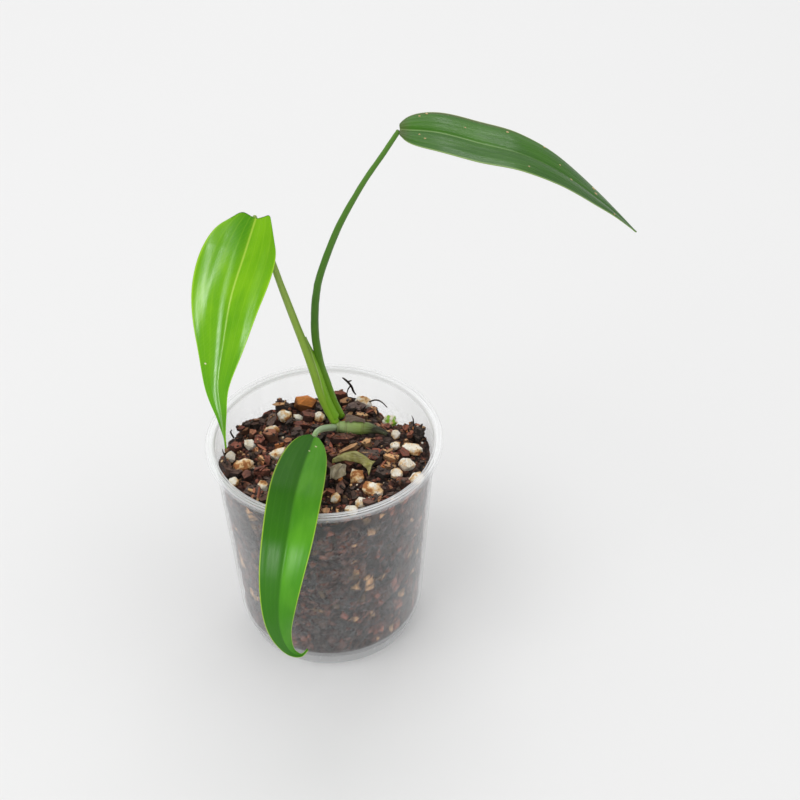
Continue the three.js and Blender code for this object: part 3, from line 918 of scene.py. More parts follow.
@dataclass
class ClearPot:
    """Nursery pot of thin clear plastic with an outward lip, a raised floor and drain holes."""

    wall: float = 0.8
    wall_top_radius: float = 46.9
    wall_foot_radius: float = 40.7
    wall_foot_height: float = 11.0
    floor_height: float = 7.0
    foot_radius: float = 36.9
    centre_foot_radius: float = 9.0
    centre_height: float = 0.9
    rim_drop: float = 2.4
    drain_holes: int = 8
    drain_radius: float = 3.0
    drain_circle: float = 26.0
    drain_sides: int = 32
    segments: int = 240

    def __post_init__(self) -> None:
        """Takes the pot's height and rim from the frame."""
        _, high = mm_box("pot")
        self.height = float(high[2])
        self.rim_radius = float(high[0])

    def wall_radius(self, z: float | np.ndarray) -> float | np.ndarray:
        """Outer radius of the wall at a height."""
        share = (z - self.wall_foot_height) / (self.height - self.wall_foot_height)
        return self.wall_foot_radius + (self.wall_top_radius - self.wall_foot_radius) * share

    def profile(self) -> np.ndarray:
        """Section of the pot from the axis round to the axis, its corners rounded.

        Returns:
            Radius and height of each point.
        """
        under = self.floor_height - self.wall - 0.1
        lip = self.height - self.rim_drop
        foot, centre, rim, top = self.foot_radius, self.centre_foot_radius, self.rim_radius, self.height
        corners = [
            (centre, 0), (centre + 1, 0.5), (centre + 2.4, under - 0.5), (centre + 3.2, under),
            (foot - 1.7, under), (foot - 1.2, under - 0.5), (foot - 1, 0), (foot, 0), (foot + 0.4, 5),
            (foot + 1.7, 6.3), (foot + 3.1, 8.4), (self.wall_foot_radius, self.wall_foot_height),
            (self.wall_radius(lip), lip + 0.6), (self.wall_radius(lip) + 0.5, top - 1), (rim - 1, top - 1),
            (rim - 0.8, lip), (rim - 0.1, lip), (rim, lip + 0.8), (rim - 0.1, top - 0.5), (rim - 0.7, top),
            (self.wall_radius(top) - 0.2, top), (self.wall_radius(top) - self.wall, top - 0.6),
            (self.wall_foot_radius - self.wall, self.wall_foot_height), (foot + 2.4, 8.9), (foot + 1.1, 7.4),
            (foot - 0.1, self.floor_height), (centre + 4, self.floor_height),
            (centre + 2.9, self.floor_height - 0.5), (centre + 1.6, 1.6), (centre + 0.6, 0.9)]
        spots = np.array([(0, 0), *corners, (0, self.centre_height)], float)
        made = [spots[0]]
        for before, spot, after in zip(spots, spots[1:], spots[2:]):
            cut = min(0.3, *(0.35 * np.linalg.norm(end - spot) for end in (before, after)))
            for end in (before, after):
                made.append(spot + unit(end - spot) * cut)
            rounded = 0.25 * made[-2] + 0.5 * spot + 0.25 * made[-1]
            made.insert(-1, rounded)
        made.append(spots[-1])
        filled = [made[0]]
        for start, end in zip(made, made[1:]):
            steps = max(1, round(float(np.linalg.norm(end - start)) / 4))
            filled += [start + (end - start) * (k + 1) / steps for k in range(steps)]
        return np.array(filled)

    def made(self, finish: PlasticFinish) -> bpy.types.Object:
        """Builds and dresses the pot.

        Args:
            finish: Its plastic.

        Returns:
            The piece.
        """
        section = self.profile()[1:-1]
        rings = rings_about(section[:, :1], section[:, 1:], self.segments)
        shape = Shape(*closed_round(rings, 0.0, self.centre_height))
        piece = dress(shape, "clear_pot", "pot", finish.made(), Smoothness.WORN)
        self.drill(piece)
        return piece

    def drill(self, piece: bpy.types.Object) -> None:
        """Cuts the drain holes through the pot's floor.

        Args:
            piece: The pot.
        """
        ends = self.floor_height + np.array([[-2.0], [1.0]])
        holes = []
        for k in range(self.drain_holes):
            angle = 2 * math.pi * k / self.drain_holes
            centre = np.array([self.drain_circle * math.cos(angle), self.drain_circle * math.sin(angle), 0])
            rings = rings_about(self.drain_radius, ends, self.drain_sides) + centre
            holes.append(Shape(rings, skin(2, self.drain_sides)))
        cutter = Shape.joined(holes).made("drain_cutter")
        cut = piece.modifiers.new("drain", "BOOLEAN")
        cut.object = cutter
        cut.operation = "DIFFERENCE"
        cut.solver = "EXACT"
        graph = bpy.context.evaluated_depsgraph_get()
        mesh = bpy.data.meshes.new_from_object(piece.evaluated_get(graph))
        piece.modifiers.clear()
        piece.data = mesh
        bpy.data.objects.remove(cutter)


@dataclass
class Stalk:
    """Round stem or petiole through stations of x, y, z and radius."""

    stations: Sequence[Row]
    across: Row
    steps: int = 160
    sides: int = 28
    scars: Sequence[float] = ()
    scar_height: float = 0.16
    flutes: float = 0.02
    seed: int = 1
    scar_show: float = 0.8
    foot: float = 0.0

    def __post_init__(self) -> None:
        """Lays the line and the girth through the stations."""
        self.line = Spline([row[:3] for row in self.stations])
        self.girth = Spline([row[3:] for row in self.stations])

    def cross(self, share: np.ndarray) -> tuple[np.ndarray, np.ndarray, np.ndarray]:
        """Directions along and across the stalk.

        Args:
            share: Shares of the stations.

        Returns:
            Along, side and up, one row for each share.
        """
        along = self.line.heading(share)
        guide = np.array(self.across, float)
        side = unit(guide - (along @ guide)[:, None] * along)
        return along, side, np.cross(along, side)

    def shape(self) -> Shape:
        """Skin of the stalk with its scars and flutes.

        Returns:
            The closed shape.
        """
        share = np.linspace(0, 1, self.steps)
        centre, radius = self.line.at(share), self.girth.at(share)
        along, side, up = self.cross(share)
        centre[0] -= along[0] * self.foot
        swell, ring = np.zeros(self.steps), np.zeros(self.steps)
        for scar in self.scars:
            near = (share - scar) * self.line.length
            swell += self.scar_height * np.exp(-(near / 0.9) ** 2)
            ring += np.exp(-((near - 0.5) / 0.22) ** 2) + 0.6 * np.exp(-((near + 0.5) / 0.18) ** 2)
        angle = round_angles(self.sides)
        cos, sin = np.cos(angle), np.sin(angle)
        out = cos[None, :, None] * side[:, None] + sin[None, :, None] * up[:, None]
        girth = (radius + swell[:, None]) * (1 + self.flutes * np.cos(7 * angle + self.seed))
        run = (share * self.line.length)[:, None]
        girth = girth + 0.05 * lumps(spread(run, 3 * cos, 3 * sin), (3.0, 1.4, 1.4), self.seed)
        marks = spread(share[:, None], np.clip(ring, 0, self.scar_show)[:, None], cos)
        return Shape(centre[:, None] + out * girth[..., None], skin(self.steps, self.sides),
                     {"stalk_place": spread(run, radius * cos, radius * sin), "stalk_share": marks})


def sheet(middle: np.ndarray, out: np.ndarray, thickness: float | np.ndarray) -> tuple[np.ndarray, Faces]:
    """Thin closed sheet with rounded long edges.

    Args:
        middle: Middle surface, rows by columns by three.
        out: Direction of the upper face at each place.
        thickness: Thickness, for all, by column or at each place.

    Returns:
        Points ring by ring and the faces. Each ring runs over the upper face and back under the lower one.
    """
    half = np.broadcast_to(np.asarray(thickness) / 2, middle.shape[:2])[..., None]
    upper, lower = middle + out * half, middle - out * half
    edge = []
    for column, neighbour in ((-1, -2), (0, 1)):
        away = unit(middle[:, column] - middle[:, neighbour])
        edge.append((middle[:, column] + away * half[:, column])[:, None])
    rings = np.concatenate([upper, edge[0], lower[:, ::-1], edge[1]], 1)
    return rings.reshape(-1, 3), skin(rings.shape[0], rings.shape[1])


def ring_columns(columns: int) -> np.ndarray:
    """Column of the middle surface that each point of a sheet's ring belongs to."""
    numbers = np.arange(columns)
    return np.concatenate([numbers, numbers[-1:], numbers[::-1], numbers[:1]])


@dataclass
class Blade:
    """Leaf blade: a folded rib, drooping margins and two lobes at the base."""

    name: str
    node: str
    midrib: Sequence[Row]
    facing: Row
    half_width: float
    lean: float
    base_curve: float
    tip_curve: float
    roll: float
    twist: float
    fold: float
    lobes: float
    base_width: float
    finish: BladeFinish
    wave: float = 0.35
    swell: float = 0.08
    swell_width: float = 10.5
    seed: int = 5
    flecks: Sequence[Row] = ()
    droop: float = 0.12
    lobe_length: float = 0.06
    lobe_skew: float = 0.0
    least_half_width: float = 0.35
    thickness: float = 0.55
    margin_thickness: float = 0.3
    rows: int = 130
    columns: int = 52

    def __post_init__(self) -> None:
        """Lays the rib through its stations."""
        self.line = Spline(self.midrib)

    def surface(self, u: np.ndarray, v: np.ndarray) -> tuple[np.ndarray, np.ndarray, np.ndarray]:
        """Middle surface of the blade.

        Args:
            u: Shares of the rib's length, one for each row.
            v: Shares of the half width, from -1 to 1, one for each column.

        Returns:
            Places, upward directions and half widths.
        """
        share = self.line.share_of(u)
        along = self.line.heading(share)
        across = unit(np.cross(along, np.array(self.facing, float)))
        turn = -np.radians(self.roll + self.twist * u)[:, None]
        across = across * np.cos(turn) + np.cross(along, across) * np.sin(turn)
        up = np.cross(across, along)
        widest = self.base_curve / (self.base_curve + self.tip_curve)
        rising = ((u + self.base_width) / (widest + self.base_width)) ** self.base_curve
        outline = rising * ((1 - u) / (1 - widest)) ** self.tip_curve
        half = np.maximum(self.half_width * outline, self.least_half_width)
        sideways = v * (1 + self.lean * np.sign(v))
        rise = self.fold * np.abs(v) - self.droop * v * v
        lobe = 3.6 * v * v * (1 - 1.35 * v * v) * (1 - self.lobe_skew * v)
        back = -self.lobes * np.outer(np.exp(-u / self.lobe_length), lobe)
        points = self.line.at(share)[:, None] + across[:, None] * (half[:, None] * sideways)[..., None]
        points = points + up[:, None] * (half[:, None] * rise)[..., None] + along[:, None] * back[..., None]
        ways = spread(u[:, None] * self.line.length, half[:, None] * v, 0.0)
        ripple = self.wave * lumps(ways + 7, (17.0, 9.0, 1.0), self.seed)
        swell = self.swell * np.sin(2 * math.pi * ways[..., 1] / self.swell_width)
        ripple = ripple * smooth(np.abs(v), 0.1, 0.8) + swell
        ripple = ripple * smooth(u, 0.0, 0.12)[:, None] * smooth(1 - u, 0.0, 0.2)[:, None]
        return points + up[:, None] * ripple[..., None], np.repeat(up[:, None], len(v), 1), half

    def relief(self, across: np.ndarray, v: np.ndarray, left: np.ndarray) -> np.ndarray:
        """Height of the veins over the blade: the rib sunk, long veins as soft channels.

        Args:
            across: Millimetres from the rib.
            v: Shares of the half width.
            left: Share of the length left to the tip.

        Returns:
            Height in millimetres.
        """
        rib = -0.3 * np.exp(-(across / 0.75) ** 2) * left ** 0.4
        wave = np.cos(2 * math.pi * LONG_VEINS * np.abs(v) ** 0.8)
        channel = -0.035 * wave * left ** 0.7 * smooth(np.abs(v), 0.08, 0.3)
        return rib + channel * smooth(1 - np.abs(v), 0.0, 0.2)

    def spots(self) -> list[Shape]:
        """Small raised specks on the upper face.

        Returns:
            One low dome for each speck.
        """
        sides = 8
        angle = round_angles(sides)[:, None]
        made = []
        for u, v, radius in self.flecks:
            points, ups, half = self.surface(np.array([u]), np.array([v]))
            spot, up = points[0, 0], ups[0, 0]
            height = float(self.relief(np.array(half[0] * v), np.array(v), np.array(1 - u)))
            side = unit(np.cross(up, np.array([0.3, 0.9, 0.2])))
            flat = np.cos(angle) * side + 0.8 * np.sin(angle) * np.cross(up, side)
            rise = self.thickness / 2 + height
            rings = [spot + flat * radius * reach + up * (rise + level)
                     for reach, level in ((1.15, -0.12), (1.0, 0.04), (0.6, 0.12), (0.15, 0.14))]
            made.append(Shape(np.vstack(rings), skin(len(rings), sides), {
                "leaf_share": (u, v, 1.0), "leaf_place": (u * self.line.length, half[0] * v, 1.0)}))
        return made

    def made(self) -> bpy.types.Object:
        """Builds and dresses the blade.

        Returns:
            The piece.
        """
        u = 1 - np.cos(np.linspace(0, math.pi / 2, self.rows)) ** 1.2
        v = np.sin(np.linspace(-1, 1, self.columns) * math.pi / 2 * 0.82) / math.sin(math.pi / 2 * 0.82)
        points, up, half = self.surface(u, v)
        across = half[:, None] * v
        left = (1 - u)[:, None]
        points = points + up * self.relief(across, v, left)[..., None]
        thin = self.margin_thickness
        thick = thin + (self.thickness - thin) * smooth(1 - np.abs(v), 0, 0.5)
        keel = 0.5 * np.exp(-(across / 0.8) ** 2) * left ** 0.5
        points = points - up * (keel / 2)[..., None]
        placed, faces = sheet(points, up, thick + keel)
        numbers = ring_columns(self.columns)
        face = np.repeat([1.0, 0.0, -1.0, 0.0], [self.columns, 1, self.columns, 1])
        blade = Shape(placed, faces, {
            "leaf_share": spread(u[:, None], v[numbers], face),
            "leaf_place": spread((u * self.line.length)[:, None], across[:, numbers], 0.0)})
        shape = Shape.joined([blade, *self.spots()])
        return dress(shape, self.name, self.node, self.finish.made())


@dataclass
class Sheath:
    """Thin skin that wraps a stalk between two stations."""

    stalk: Stalk
    first: float
    last: float
    angles: Callable[[np.ndarray], tuple[np.ndarray, np.ndarray]]
    offset: Callable[[np.ndarray, np.ndarray], np.ndarray]
    thickness: float = 0.45
    rows: int = 70
    columns: int = 26
    ragged: float = 0.0
    seed: int = 3

    def shape(self) -> Shape:
        """Skin with a thin edge, ragged where it has torn.

        Returns:
            The closed shape, with the values of a stalk and of a dry sheet.
        """
        k, v = np.linspace(0, 1, self.rows), np.linspace(0, 1, self.columns)
        share = self.first + (self.last - self.first) * k
        _, side, up = self.stalk.cross(share)
        start, end = (edge[:, None] for edge in self.angles(k))
        run = (share * self.stalk.line.length)[:, None]
        grid = spread(run, v * 8, 0.0)
        tear = self.ragged * lumps(grid * [1, 0, 0], (1.6, 1.0, 1.0), self.seed)
        angle = np.radians(start + (end - start) * v + tear * 14 * v)
        out = np.cos(angle)[..., None] * side[:, None] + np.sin(angle)[..., None] * up[:, None]
        reach = self.stalk.girth.at(share) + self.offset(k[:, None], v)
        reach = reach + 0.08 * lumps(grid, (5.0, 1.5, 1.0), self.seed + 1)
        middle = self.stalk.line.at(share)[:, None] + out * reach[..., None]
        thin = self.thickness * (0.35 + 0.65 * smooth(np.minimum(v, 1 - v), 0, 0.3))
        points, faces = sheet(middle, out, thin)
        around = v[ring_columns(self.columns)]
        place = spread(run, 8 * around, 0.0)
        marks = spread(share[:, None], 0.0, 2 * around - 1)
        return Shape(points, faces, {"stalk_place": place, "stalk_share": marks, "grain_place": place})


@dataclass
class Remains:
    """Curled dry skin lying on the mix."""

    centre: Row
    length: float
    width: float
    turn: float
    curl: float
    sag: float
    bow: float
    flare: float
    seed: int
    thickness: float = 0.4
    crumple: float = 1.0
    rows: int = 84
    columns: int = 48

    def shape(self) -> Shape:
        """Crumpled sheet with torn edges.

        Returns:
            The closed shape.
        """
        s, v = np.linspace(-1, 1, self.rows)[:, None], np.linspace(-1, 1, self.columns)
        grid = spread(self.length / 2 * s, self.width / 2 * v, 0.0)
        tear = 1 + 0.16 * lumps(grid * [1, 0, 0] + [0, 50, 0], (1.7, 1, 1), self.seed) * np.abs(v)
        half = self.width / 2 * (1 - 0.55 * np.abs(s) ** 1.5 + self.flare * np.maximum(0, s) ** 3) * tear
        arch = self.curl * (1 - v * v) * (1 - 0.4 * s * s) - self.sag * s * s
        fold = self.crumple * lumps(grid, (6.0, 1.5, 1.0), self.seed + 1)
        fold = fold + 0.3 * self.crumple * lumps(grid, (2.0, 0.6, 1.0), self.seed + 2)
        middle = spread(self.length / 2 * s, half * v + self.bow * (1 - s * s), arch + fold * 0.6)
        out = unit(spread(0.0, 0.7 * v + 0 * s, 1.0))
        points, faces = sheet(middle, out, self.thickness)
        place = middle[:, ring_columns(self.columns)] * [1, 1, 0]
        return Shape(points @ spin(self.turn).T + np.array(self.centre), faces, {"grain_place": place})


@lru_cache(maxsize=None)
def lump_mesh(detail: int) -> tuple[np.ndarray, np.ndarray]:
    """Fine net over a lump of twelve corners.

    Args:
        detail: Parts that each edge is split into.

    Returns:
        Share of each corner in each point, and the faces.
    """
    coarse = []
    for k in range(5):
        a, b, c, d = 2 + 2 * k, 3 + 2 * k, 2 + 2 * ((k + 1) % 5), 3 + 2 * ((k + 1) % 5)
        coarse += [(0, a, c), (1, d, b), (a, b, c), (b, d, c)]
    weights, index, faces = [], {}, []

    def spot(corner: tuple[int, int, int], i: int, j: int) -> int:
        """Number of the point at a place in a corner triangle.

        Args:
            corner: Numbers of the triangle's three corners.
            i: Parts towards the second corner.
            j: Parts towards the third one.

        Returns:
            The point's number.
        """
        parts = np.zeros(12)
        for number, part in zip(corner, (detail - i - j, i, j)):
            parts[number] += part
        key = tuple(parts)
        if key not in index:
            index[key] = len(weights)
            weights.append(parts / detail)
        return index[key]

    for corner in coarse:
        for i, j in itertools.product(range(detail), repeat=2):
            if i + j < detail:
                faces.append((spot(corner, i, j), spot(corner, i + 1, j), spot(corner, i, j + 1)))
            if i + j < detail - 1:
                faces.append((spot(corner, i + 1, j), spot(corner, i + 1, j + 1), spot(corner, i, j + 1)))
    return np.array(weights), np.array(faces)


class Grit(Enum):
    """Kinds of lump in the mix."""

    BARK = "bark"
    PERLITE = "perlite"
    CLOD = "clod"


class Heap:
    """Lumps of one kind that are shaped together."""

    def __init__(self, kind: Grit, detail: int) -> None:
        """Starts an empty heap.

        Args:
            kind: What the lumps are.
            detail: Parts that each edge of a lump is split into.
        """
        self.kind = kind
        self.weights, self.faces = lump_mesh(detail)
        self.lumps: list[tuple] = []

    @staticmethod
    def rough_corners(blocky: bool, draw: Draw) -> np.ndarray:
        """Twelve corners of a lump, drawn as the frame's grains are.

        Args:
            blocky: Whether it is a chip with a flat top, and not a rounded lump.
            draw: Where its numbers come from.

        Returns:
            The corners, about one from the centre.
        """
        corners = [(0.0, 0.0, 1.0), (0.0, 0.0, -1.0)]
        for k in range(5):
            for level in (0, 1):
                angle = 2 * math.pi * (k + (0 if blocky else 0.5 * level)) / 5
                reach = (1 if blocky else 0.9) * (0.78 + 0.34 * draw())
                rise = (-1 if level else 1) * (0.95 if blocky else 0.5)
                corners.append((reach * math.cos(angle), reach * math.sin(angle), rise))
        return np.array(corners)

    def add(self, corners: np.ndarray, size: Row, turn: np.ndarray, centre: np.ndarray, tone: Row) -> None:
        """Adds a lump: its corners, its size, its turn as a matrix, its place and its three tones."""
        self.lumps.append((corners, size, turn, centre, tone))

    def shape(self) -> Shape:
        """All lumps with their worn corners, layers and pits.

        Returns:
            One shape of closed bodies.
        """
        count, size = len(self.lumps), len(self.weights)
        corners, sizes, turns, centres, tones = (np.array(rows, float) for rows in zip(*self.lumps))
        halves = sizes[:, None] / 2
        rough = np.einsum("pc,ncx->npx", self.weights, corners)
        # Each lump reads a part of the patterns of its own
        offset = (np.arange(count) * 37.1)[:, None, None] * np.array([1.0, 0.7, 0.3])
        reach = np.linalg.norm(rough, axis=2, keepdims=True)
        small = halves.min(2, keepdims=True)
        if self.kind is Grit.BARK:
            near = np.minimum(1, 1.02 / np.maximum(reach, 1e-6))
            local = rough * (0.93 + 0.07 * near) * halves
            periods = ((7.0, 5.0, 0.45), (5.0, 0.7, 2.0), 1.5)
            layer, grooves, chips = self.patterns(local + offset, periods, 11)
            depth = np.minimum(small, 1.2)
            local = local + unit(local * [1, 1, 0]) * depth * (0.14 * layer + 0.09 * chips)
            local = local + np.array([0, 0, 1.0]) * depth * (0.1 * grooves + 0.04 * chips)
        else:
            rugged = 3.0 if self.kind is Grit.CLOD else 1.0
            local = 1.1 * (0.82 * rough + 0.18 * (unit(rough) * 0.9)) * halves
            knobs, bumps, pits = self.patterns(local + offset, (2.0, 0.9, 0.5), 21)
            local = local * (1 + 0.11 * rugged * (knobs + 0.6 * bumps)) + 0.05 * rugged * small * pits * rough
        turned = np.einsum("nxy,npy->npx", turns, local) + centres[:, None]
        faces = self.faces + (np.arange(count) * size)[:, None, None]
        return Shape(turned, faces.reshape(-1, 3).tolist(), {
            "grain_place": local + offset, "tone": np.repeat(tones[:, None], size, 1)})

    @staticmethod
    def patterns(places: np.ndarray, periods: Sequence[float | Row], seed: int) -> list[np.ndarray]:
        """Patterns of lumps over the same places, one for each period."""
        return [lumps(places, period, seed + k)[..., None] for k, period in enumerate(periods)]


@dataclass(frozen=True)
class Strewn:
    """How loose bits of one kind are strewn: least and most length, and width as a share of it."""

    count: int
    lengths: Row
    slim: Row
    seed: int
    tone: Callable[[np.random.Generator], Row]


@dataclass
class PottingMix:
    """Bark and perlite mix that fills the pot, heaped round the stem."""

    pot: ClearPot
    stem: Stalk
    level: float = 88.6
    slope: Row = (0.045, -0.07)
    mound: float = 1.5
    mound_centre: Row = (10, 18)
    mound_spread: float = 12
    ripple: float = 0.5
    hollow: float = 9
    hollow_centre: Row = (33, 33)
    hollow_spread: float = 9
    clearance: float = 0.3
    bark_chips: int = 84
    bark_reach: float = 43
    bark_seed: int = 20417
    shade_seed: int = 977
    root_seed: int = 30
    facet_seeds: Row = (31, 32, 33)
    perlite_height: float = 0.8
    segments: int = 320
    side_rows: int = 84
    top_rows: int = 77
    unrolled_radius: float = 44
    large_facet: float = 8.0
    small_facet: float = 3.2
    top_facet: float = 2.2
    strewn_reach: float = 44.3
    stem_room: float = 2.9

    # Grains that stand out: x, y, length, width, turn, rust, algae, greyness
    PERLITE = [
        (-17, 30.7, 6.8, 6.4, 10, 0.5, 0, 0), (-10.9, 28.1, 3, 4.8, 80, 0.3, 0, 0.1),
        (-1.3, 27.6, 5.4, 5.6, 20, 0.6, 0, 0), (18.2, 38.6, 9.2, 6.6, 0, 0.4, 0, 0),
        (29, 28.4, 7.4, 6.4, 30, 0, 1, 0.2),
        (-31.8, 12.8, 4.6, 6, 70, 0.1, 0, 0.1), (-40, 5, 4.8, 5.6, 20, 0.2, 0, 0.8),
        (-34.5, -2, 10.5, 6.4, 20, 0.8, 0, 0.2), (-38.5, -12.5, 4.4, 4.4, 0, 0.4, 0, 0),
        (-26.3, -16.5, 5.6, 6, 40, 0.5, 0, 0), (-19.8, 4.6, 8.4, 5.4, 25, 0.4, 0, 0),
        (-22.3, 21.3, 7.4, 4.6, 0, 1, 0, 0.2), (12.8, -16, 7, 6.4, -30, 0.8, 0, 0),
        (19, -24.7, 9.6, 6.6, -20, 0.7, 0, 0), (3.6, -29.1, 4.8, 5, 0, 0.7, 0, 0),
        (13.7, -32.4, 5, 5.2, 40, 0.2, 0, 0), (9.4, -37, 6, 5.2, -20, 0.4, 0, 0.1),
        (29.4, -16.3, 5.2, 6, 0, 0.3, 0, 0.2), (33.9, -11.4, 5.4, 7, 60, 0.2, 0, 0.3),
        (37, -20.4, 7.4, 5.6, 40, 0.6, 0, 0), (37.2, -0.8, 10.4, 6, -30, 0.4, 0, 0.1),
        (30.8, 10.4, 4, 4.4, 0, 0.1, 0, 0.3), (30, 3.2, 4.6, 4.4, 20, 0.1, 0, 0.1)]
    # Dead roots and shreds, each through stations of x, y, z and radius
    ROOTLETS = [
        [(9.4, 38.3, 100.2, 0.35), (11, 38.4, 98.4, 0.5), (12.9, 39.7, 94.5, 0.55), (13.9, 40.9, 90.4, 0.5),
         (14.9, 42.2, 87.2, 0.3)],
        [(11.4, 38.6, 97.6, 0.3), (12.6, 38.2, 98.3, 0.35), (13.3, 37.9, 98.8, 0.15)],
        [(12.9, 39.7, 94.5, 0.35), (11.6, 39.6, 92.6, 0.3), (11, 39.6, 90, 0.2)],
        [(20.5, 37.5, 86.5, 0.3), (23.5, 37.5, 87.3, 0.35), (26, 36.5, 87, 0.3), (28.4, 34.3, 85.4, 0.2)],
        [(38.5, 10.5, 94, 0.4), (38.3, 10.8, 96.4, 0.3), (38.1, 11, 98.2, 0.2), (37.6, 11.2, 99.4, 0.1)],
        [(40.8, 8.5, 93, 0.3), (41.6, 8.6, 95.4, 0.25), (41.3, 8.2, 97, 0.1)],
        [(36.4, 8.2, 93, 0.3), (35.9, 8, 95, 0.2), (36.3, 7.4, 96.2, 0.1)],
        [(-38.6, 13.9, 90, 0.4), (-39.7, 14.2, 92.8, 0.35), (-39.2, 14.4, 94.2, 0.2)],
        [(-41.2, -4, 90.6, 0.5), (-42.2, -1, 93.2, 0.4), (-42.9, 1, 95.2, 0.15)]]
    ROOT_TONE = (0.12, 0.75, 0.1)
    ORANGE_CHIP = (-7.6, 38.4, 9.4, 7, 15, 6.5)
    ORANGE_GROWTH = 1.3
    BLACK_CHUNK = (39.4, 9.6, 7.6, 8, 60, 7.0)

    # Bark that shows among the rest: x, y, length, width, turn, height, tone, brightness
    LARGE_BARK = [
        (-34.4, 23.1, 5.4, 4.6, 20, 4.5, 0.7, 1.0), (-30.5, 25.7, 6.4, 4.8, -20, 4.2, 0.3, 0.8),
        (-22.8, 27.4, 8.6, 3.8, 70, 6.5, 0.2, 1.3), (-22.8, 17.4, 7.4, 6, -35, 4.2, 0.68, 0.9),
        (-38, 11.6, 6.2, 5.2, 50, 4, 0.5, 1.1), (-28, 4.4, 14, 2.4, -73, 2, 0.9, 1.0),
        (-25.2, 3.2, 14.4, 2.8, -74, 2.6, 0.5, 1.2), (-42.4, -2.4, 13, 5, 106, 5, 0.33, 0.8),
        (-37.8, -6.5, 6.4, 5.2, 0, 3.6, 0.3, 0.8), (-32.9, -9, 5.2, 4.8, 30, 3.4, 0.4, 0.9),
        (-27, -7.3, 8.4, 3.6, -10, 2.8, 0.56, 1.2), (-30, -18.9, 9.4, 7.4, -25, 2.8, 0.2, 1.2),
        (-19.4, 10.9, 4.8, 1.8, 15, 1.6, 0.95, 0.9), (-30.6, 18.8, 4.8, 3.8, 60, 5, 0.66, 1.0),
        (7.9, 41.4, 6.8, 3.6, -15, 5, 0.52, 1.0), (10.3, 38.2, 6.2, 3.2, 15, 3, 0.78, 0.9),
        (14.1, 32.7, 10.4, 6.2, 15, 4.5, 0.16, 1.5), (16.7, 26.9, 6.8, 3.8, -5, 3, 0.85, 0.9),
        (21.6, 33.1, 5.8, 6, 60, 3.5, 0.38, 0.7), (7.5, 9.2, 13, 5, 18, 2.6, 0.4, 0.8),
        (10.3, 3, 12.6, 3, 21, 2, 0.8, 1.0), (18.1, 5.9, 4.8, 4.2, 30, 3, 0.86, 1.0),
        (1.7, 6.1, 5.8, 2.2, 68, 1.8, 0.9, 1.0), (18.4, -3.5, 12.6, 10, -35, 3, 0.1, 1.1),
        (23.6, -15.2, 7.4, 6.2, -20, 3.2, 0.06, 0.9), (27.2, -3.6, 13.4, 6.4, -70, 2.4, 0.86, 1.2),
        (5.8, -17.1, 4.8, 2.4, 75, 1.6, 0.93, 1.1), (33.7, -2.5, 6.4, 4.8, -50, 3, 0.48, 0.8),
        (31.7, -23, 8.4, 3.8, -40, 3, 0.4, 0.9)]

    LOOSE_CHIPS = Strewn(520, (1.8, 5.6), (0.35, 0.8), 51, lambda draw: (
        0.85 * draw.random() ** 1.4, draw.uniform(0.55, 1.2), draw.uniform(0, 0.6)))
    SLIVERS = Strewn(150, (3.0, 9.0), (0.12, 0.25), 52, lambda draw: (
        draw.choice([0.5, 0.6, 0.8, 0.92]), draw.uniform(0.7, 1.15), 0.2))
    CRUMBS = Strewn(1500, (0.5, 1.7), (0.4, 0.9), 53, lambda draw: (
        0.95 * draw.random() ** 2, draw.uniform(0.5, 1.2), draw.uniform(0, 0.5)))
    WHITE_SPECKS = Strewn(34, (0.8, 2.2), (0.6, 0.95), 54, lambda draw: (
        draw.random(), 0.0, draw.uniform(0, 0.6)))

    def height(self, x: np.ndarray, y: np.ndarray) -> np.ndarray:
        """Height of the mix's surface.

        Args:
            x: Places across.
            y: Places in depth.

        Returns:
            Heights in millimetres.
        """
        def swell(centre: Row, reach: float) -> np.ndarray:
            """Round swelling about a centre."""
            return np.exp(-((x - centre[0]) ** 2 + (y - centre[1]) ** 2) / (2 * reach ** 2))

        wave = np.sin(0.31 * x + 1.3) * np.cos(0.37 * y) + 0.6 * np.sin(0.83 * x - 0.57 * y)
        return (self.level + self.slope[0] * x + self.slope[1] * y + self.ripple * wave
                + self.mound * swell(self.mound_centre, self.mound_spread)
                - self.hollow * swell(self.hollow_centre, self.hollow_spread))

    def inside(self, points: np.ndarray, gap: float = 0.3) -> np.ndarray:
        """Points drawn in to the pot's inner wall where they would cross it.

        Args:
            points: Places in millimetres.
            gap: Space left to the wall.

        Returns:
            The moved places.
        """
        reach = np.hypot(points[:, 0], points[:, 1])
        most = self.pot.wall_radius(points[:, 2]) - self.pot.wall - gap
        factor = np.minimum(1, most / np.maximum(reach, 1e-6))
        return points * spread(factor, factor, 1.0)

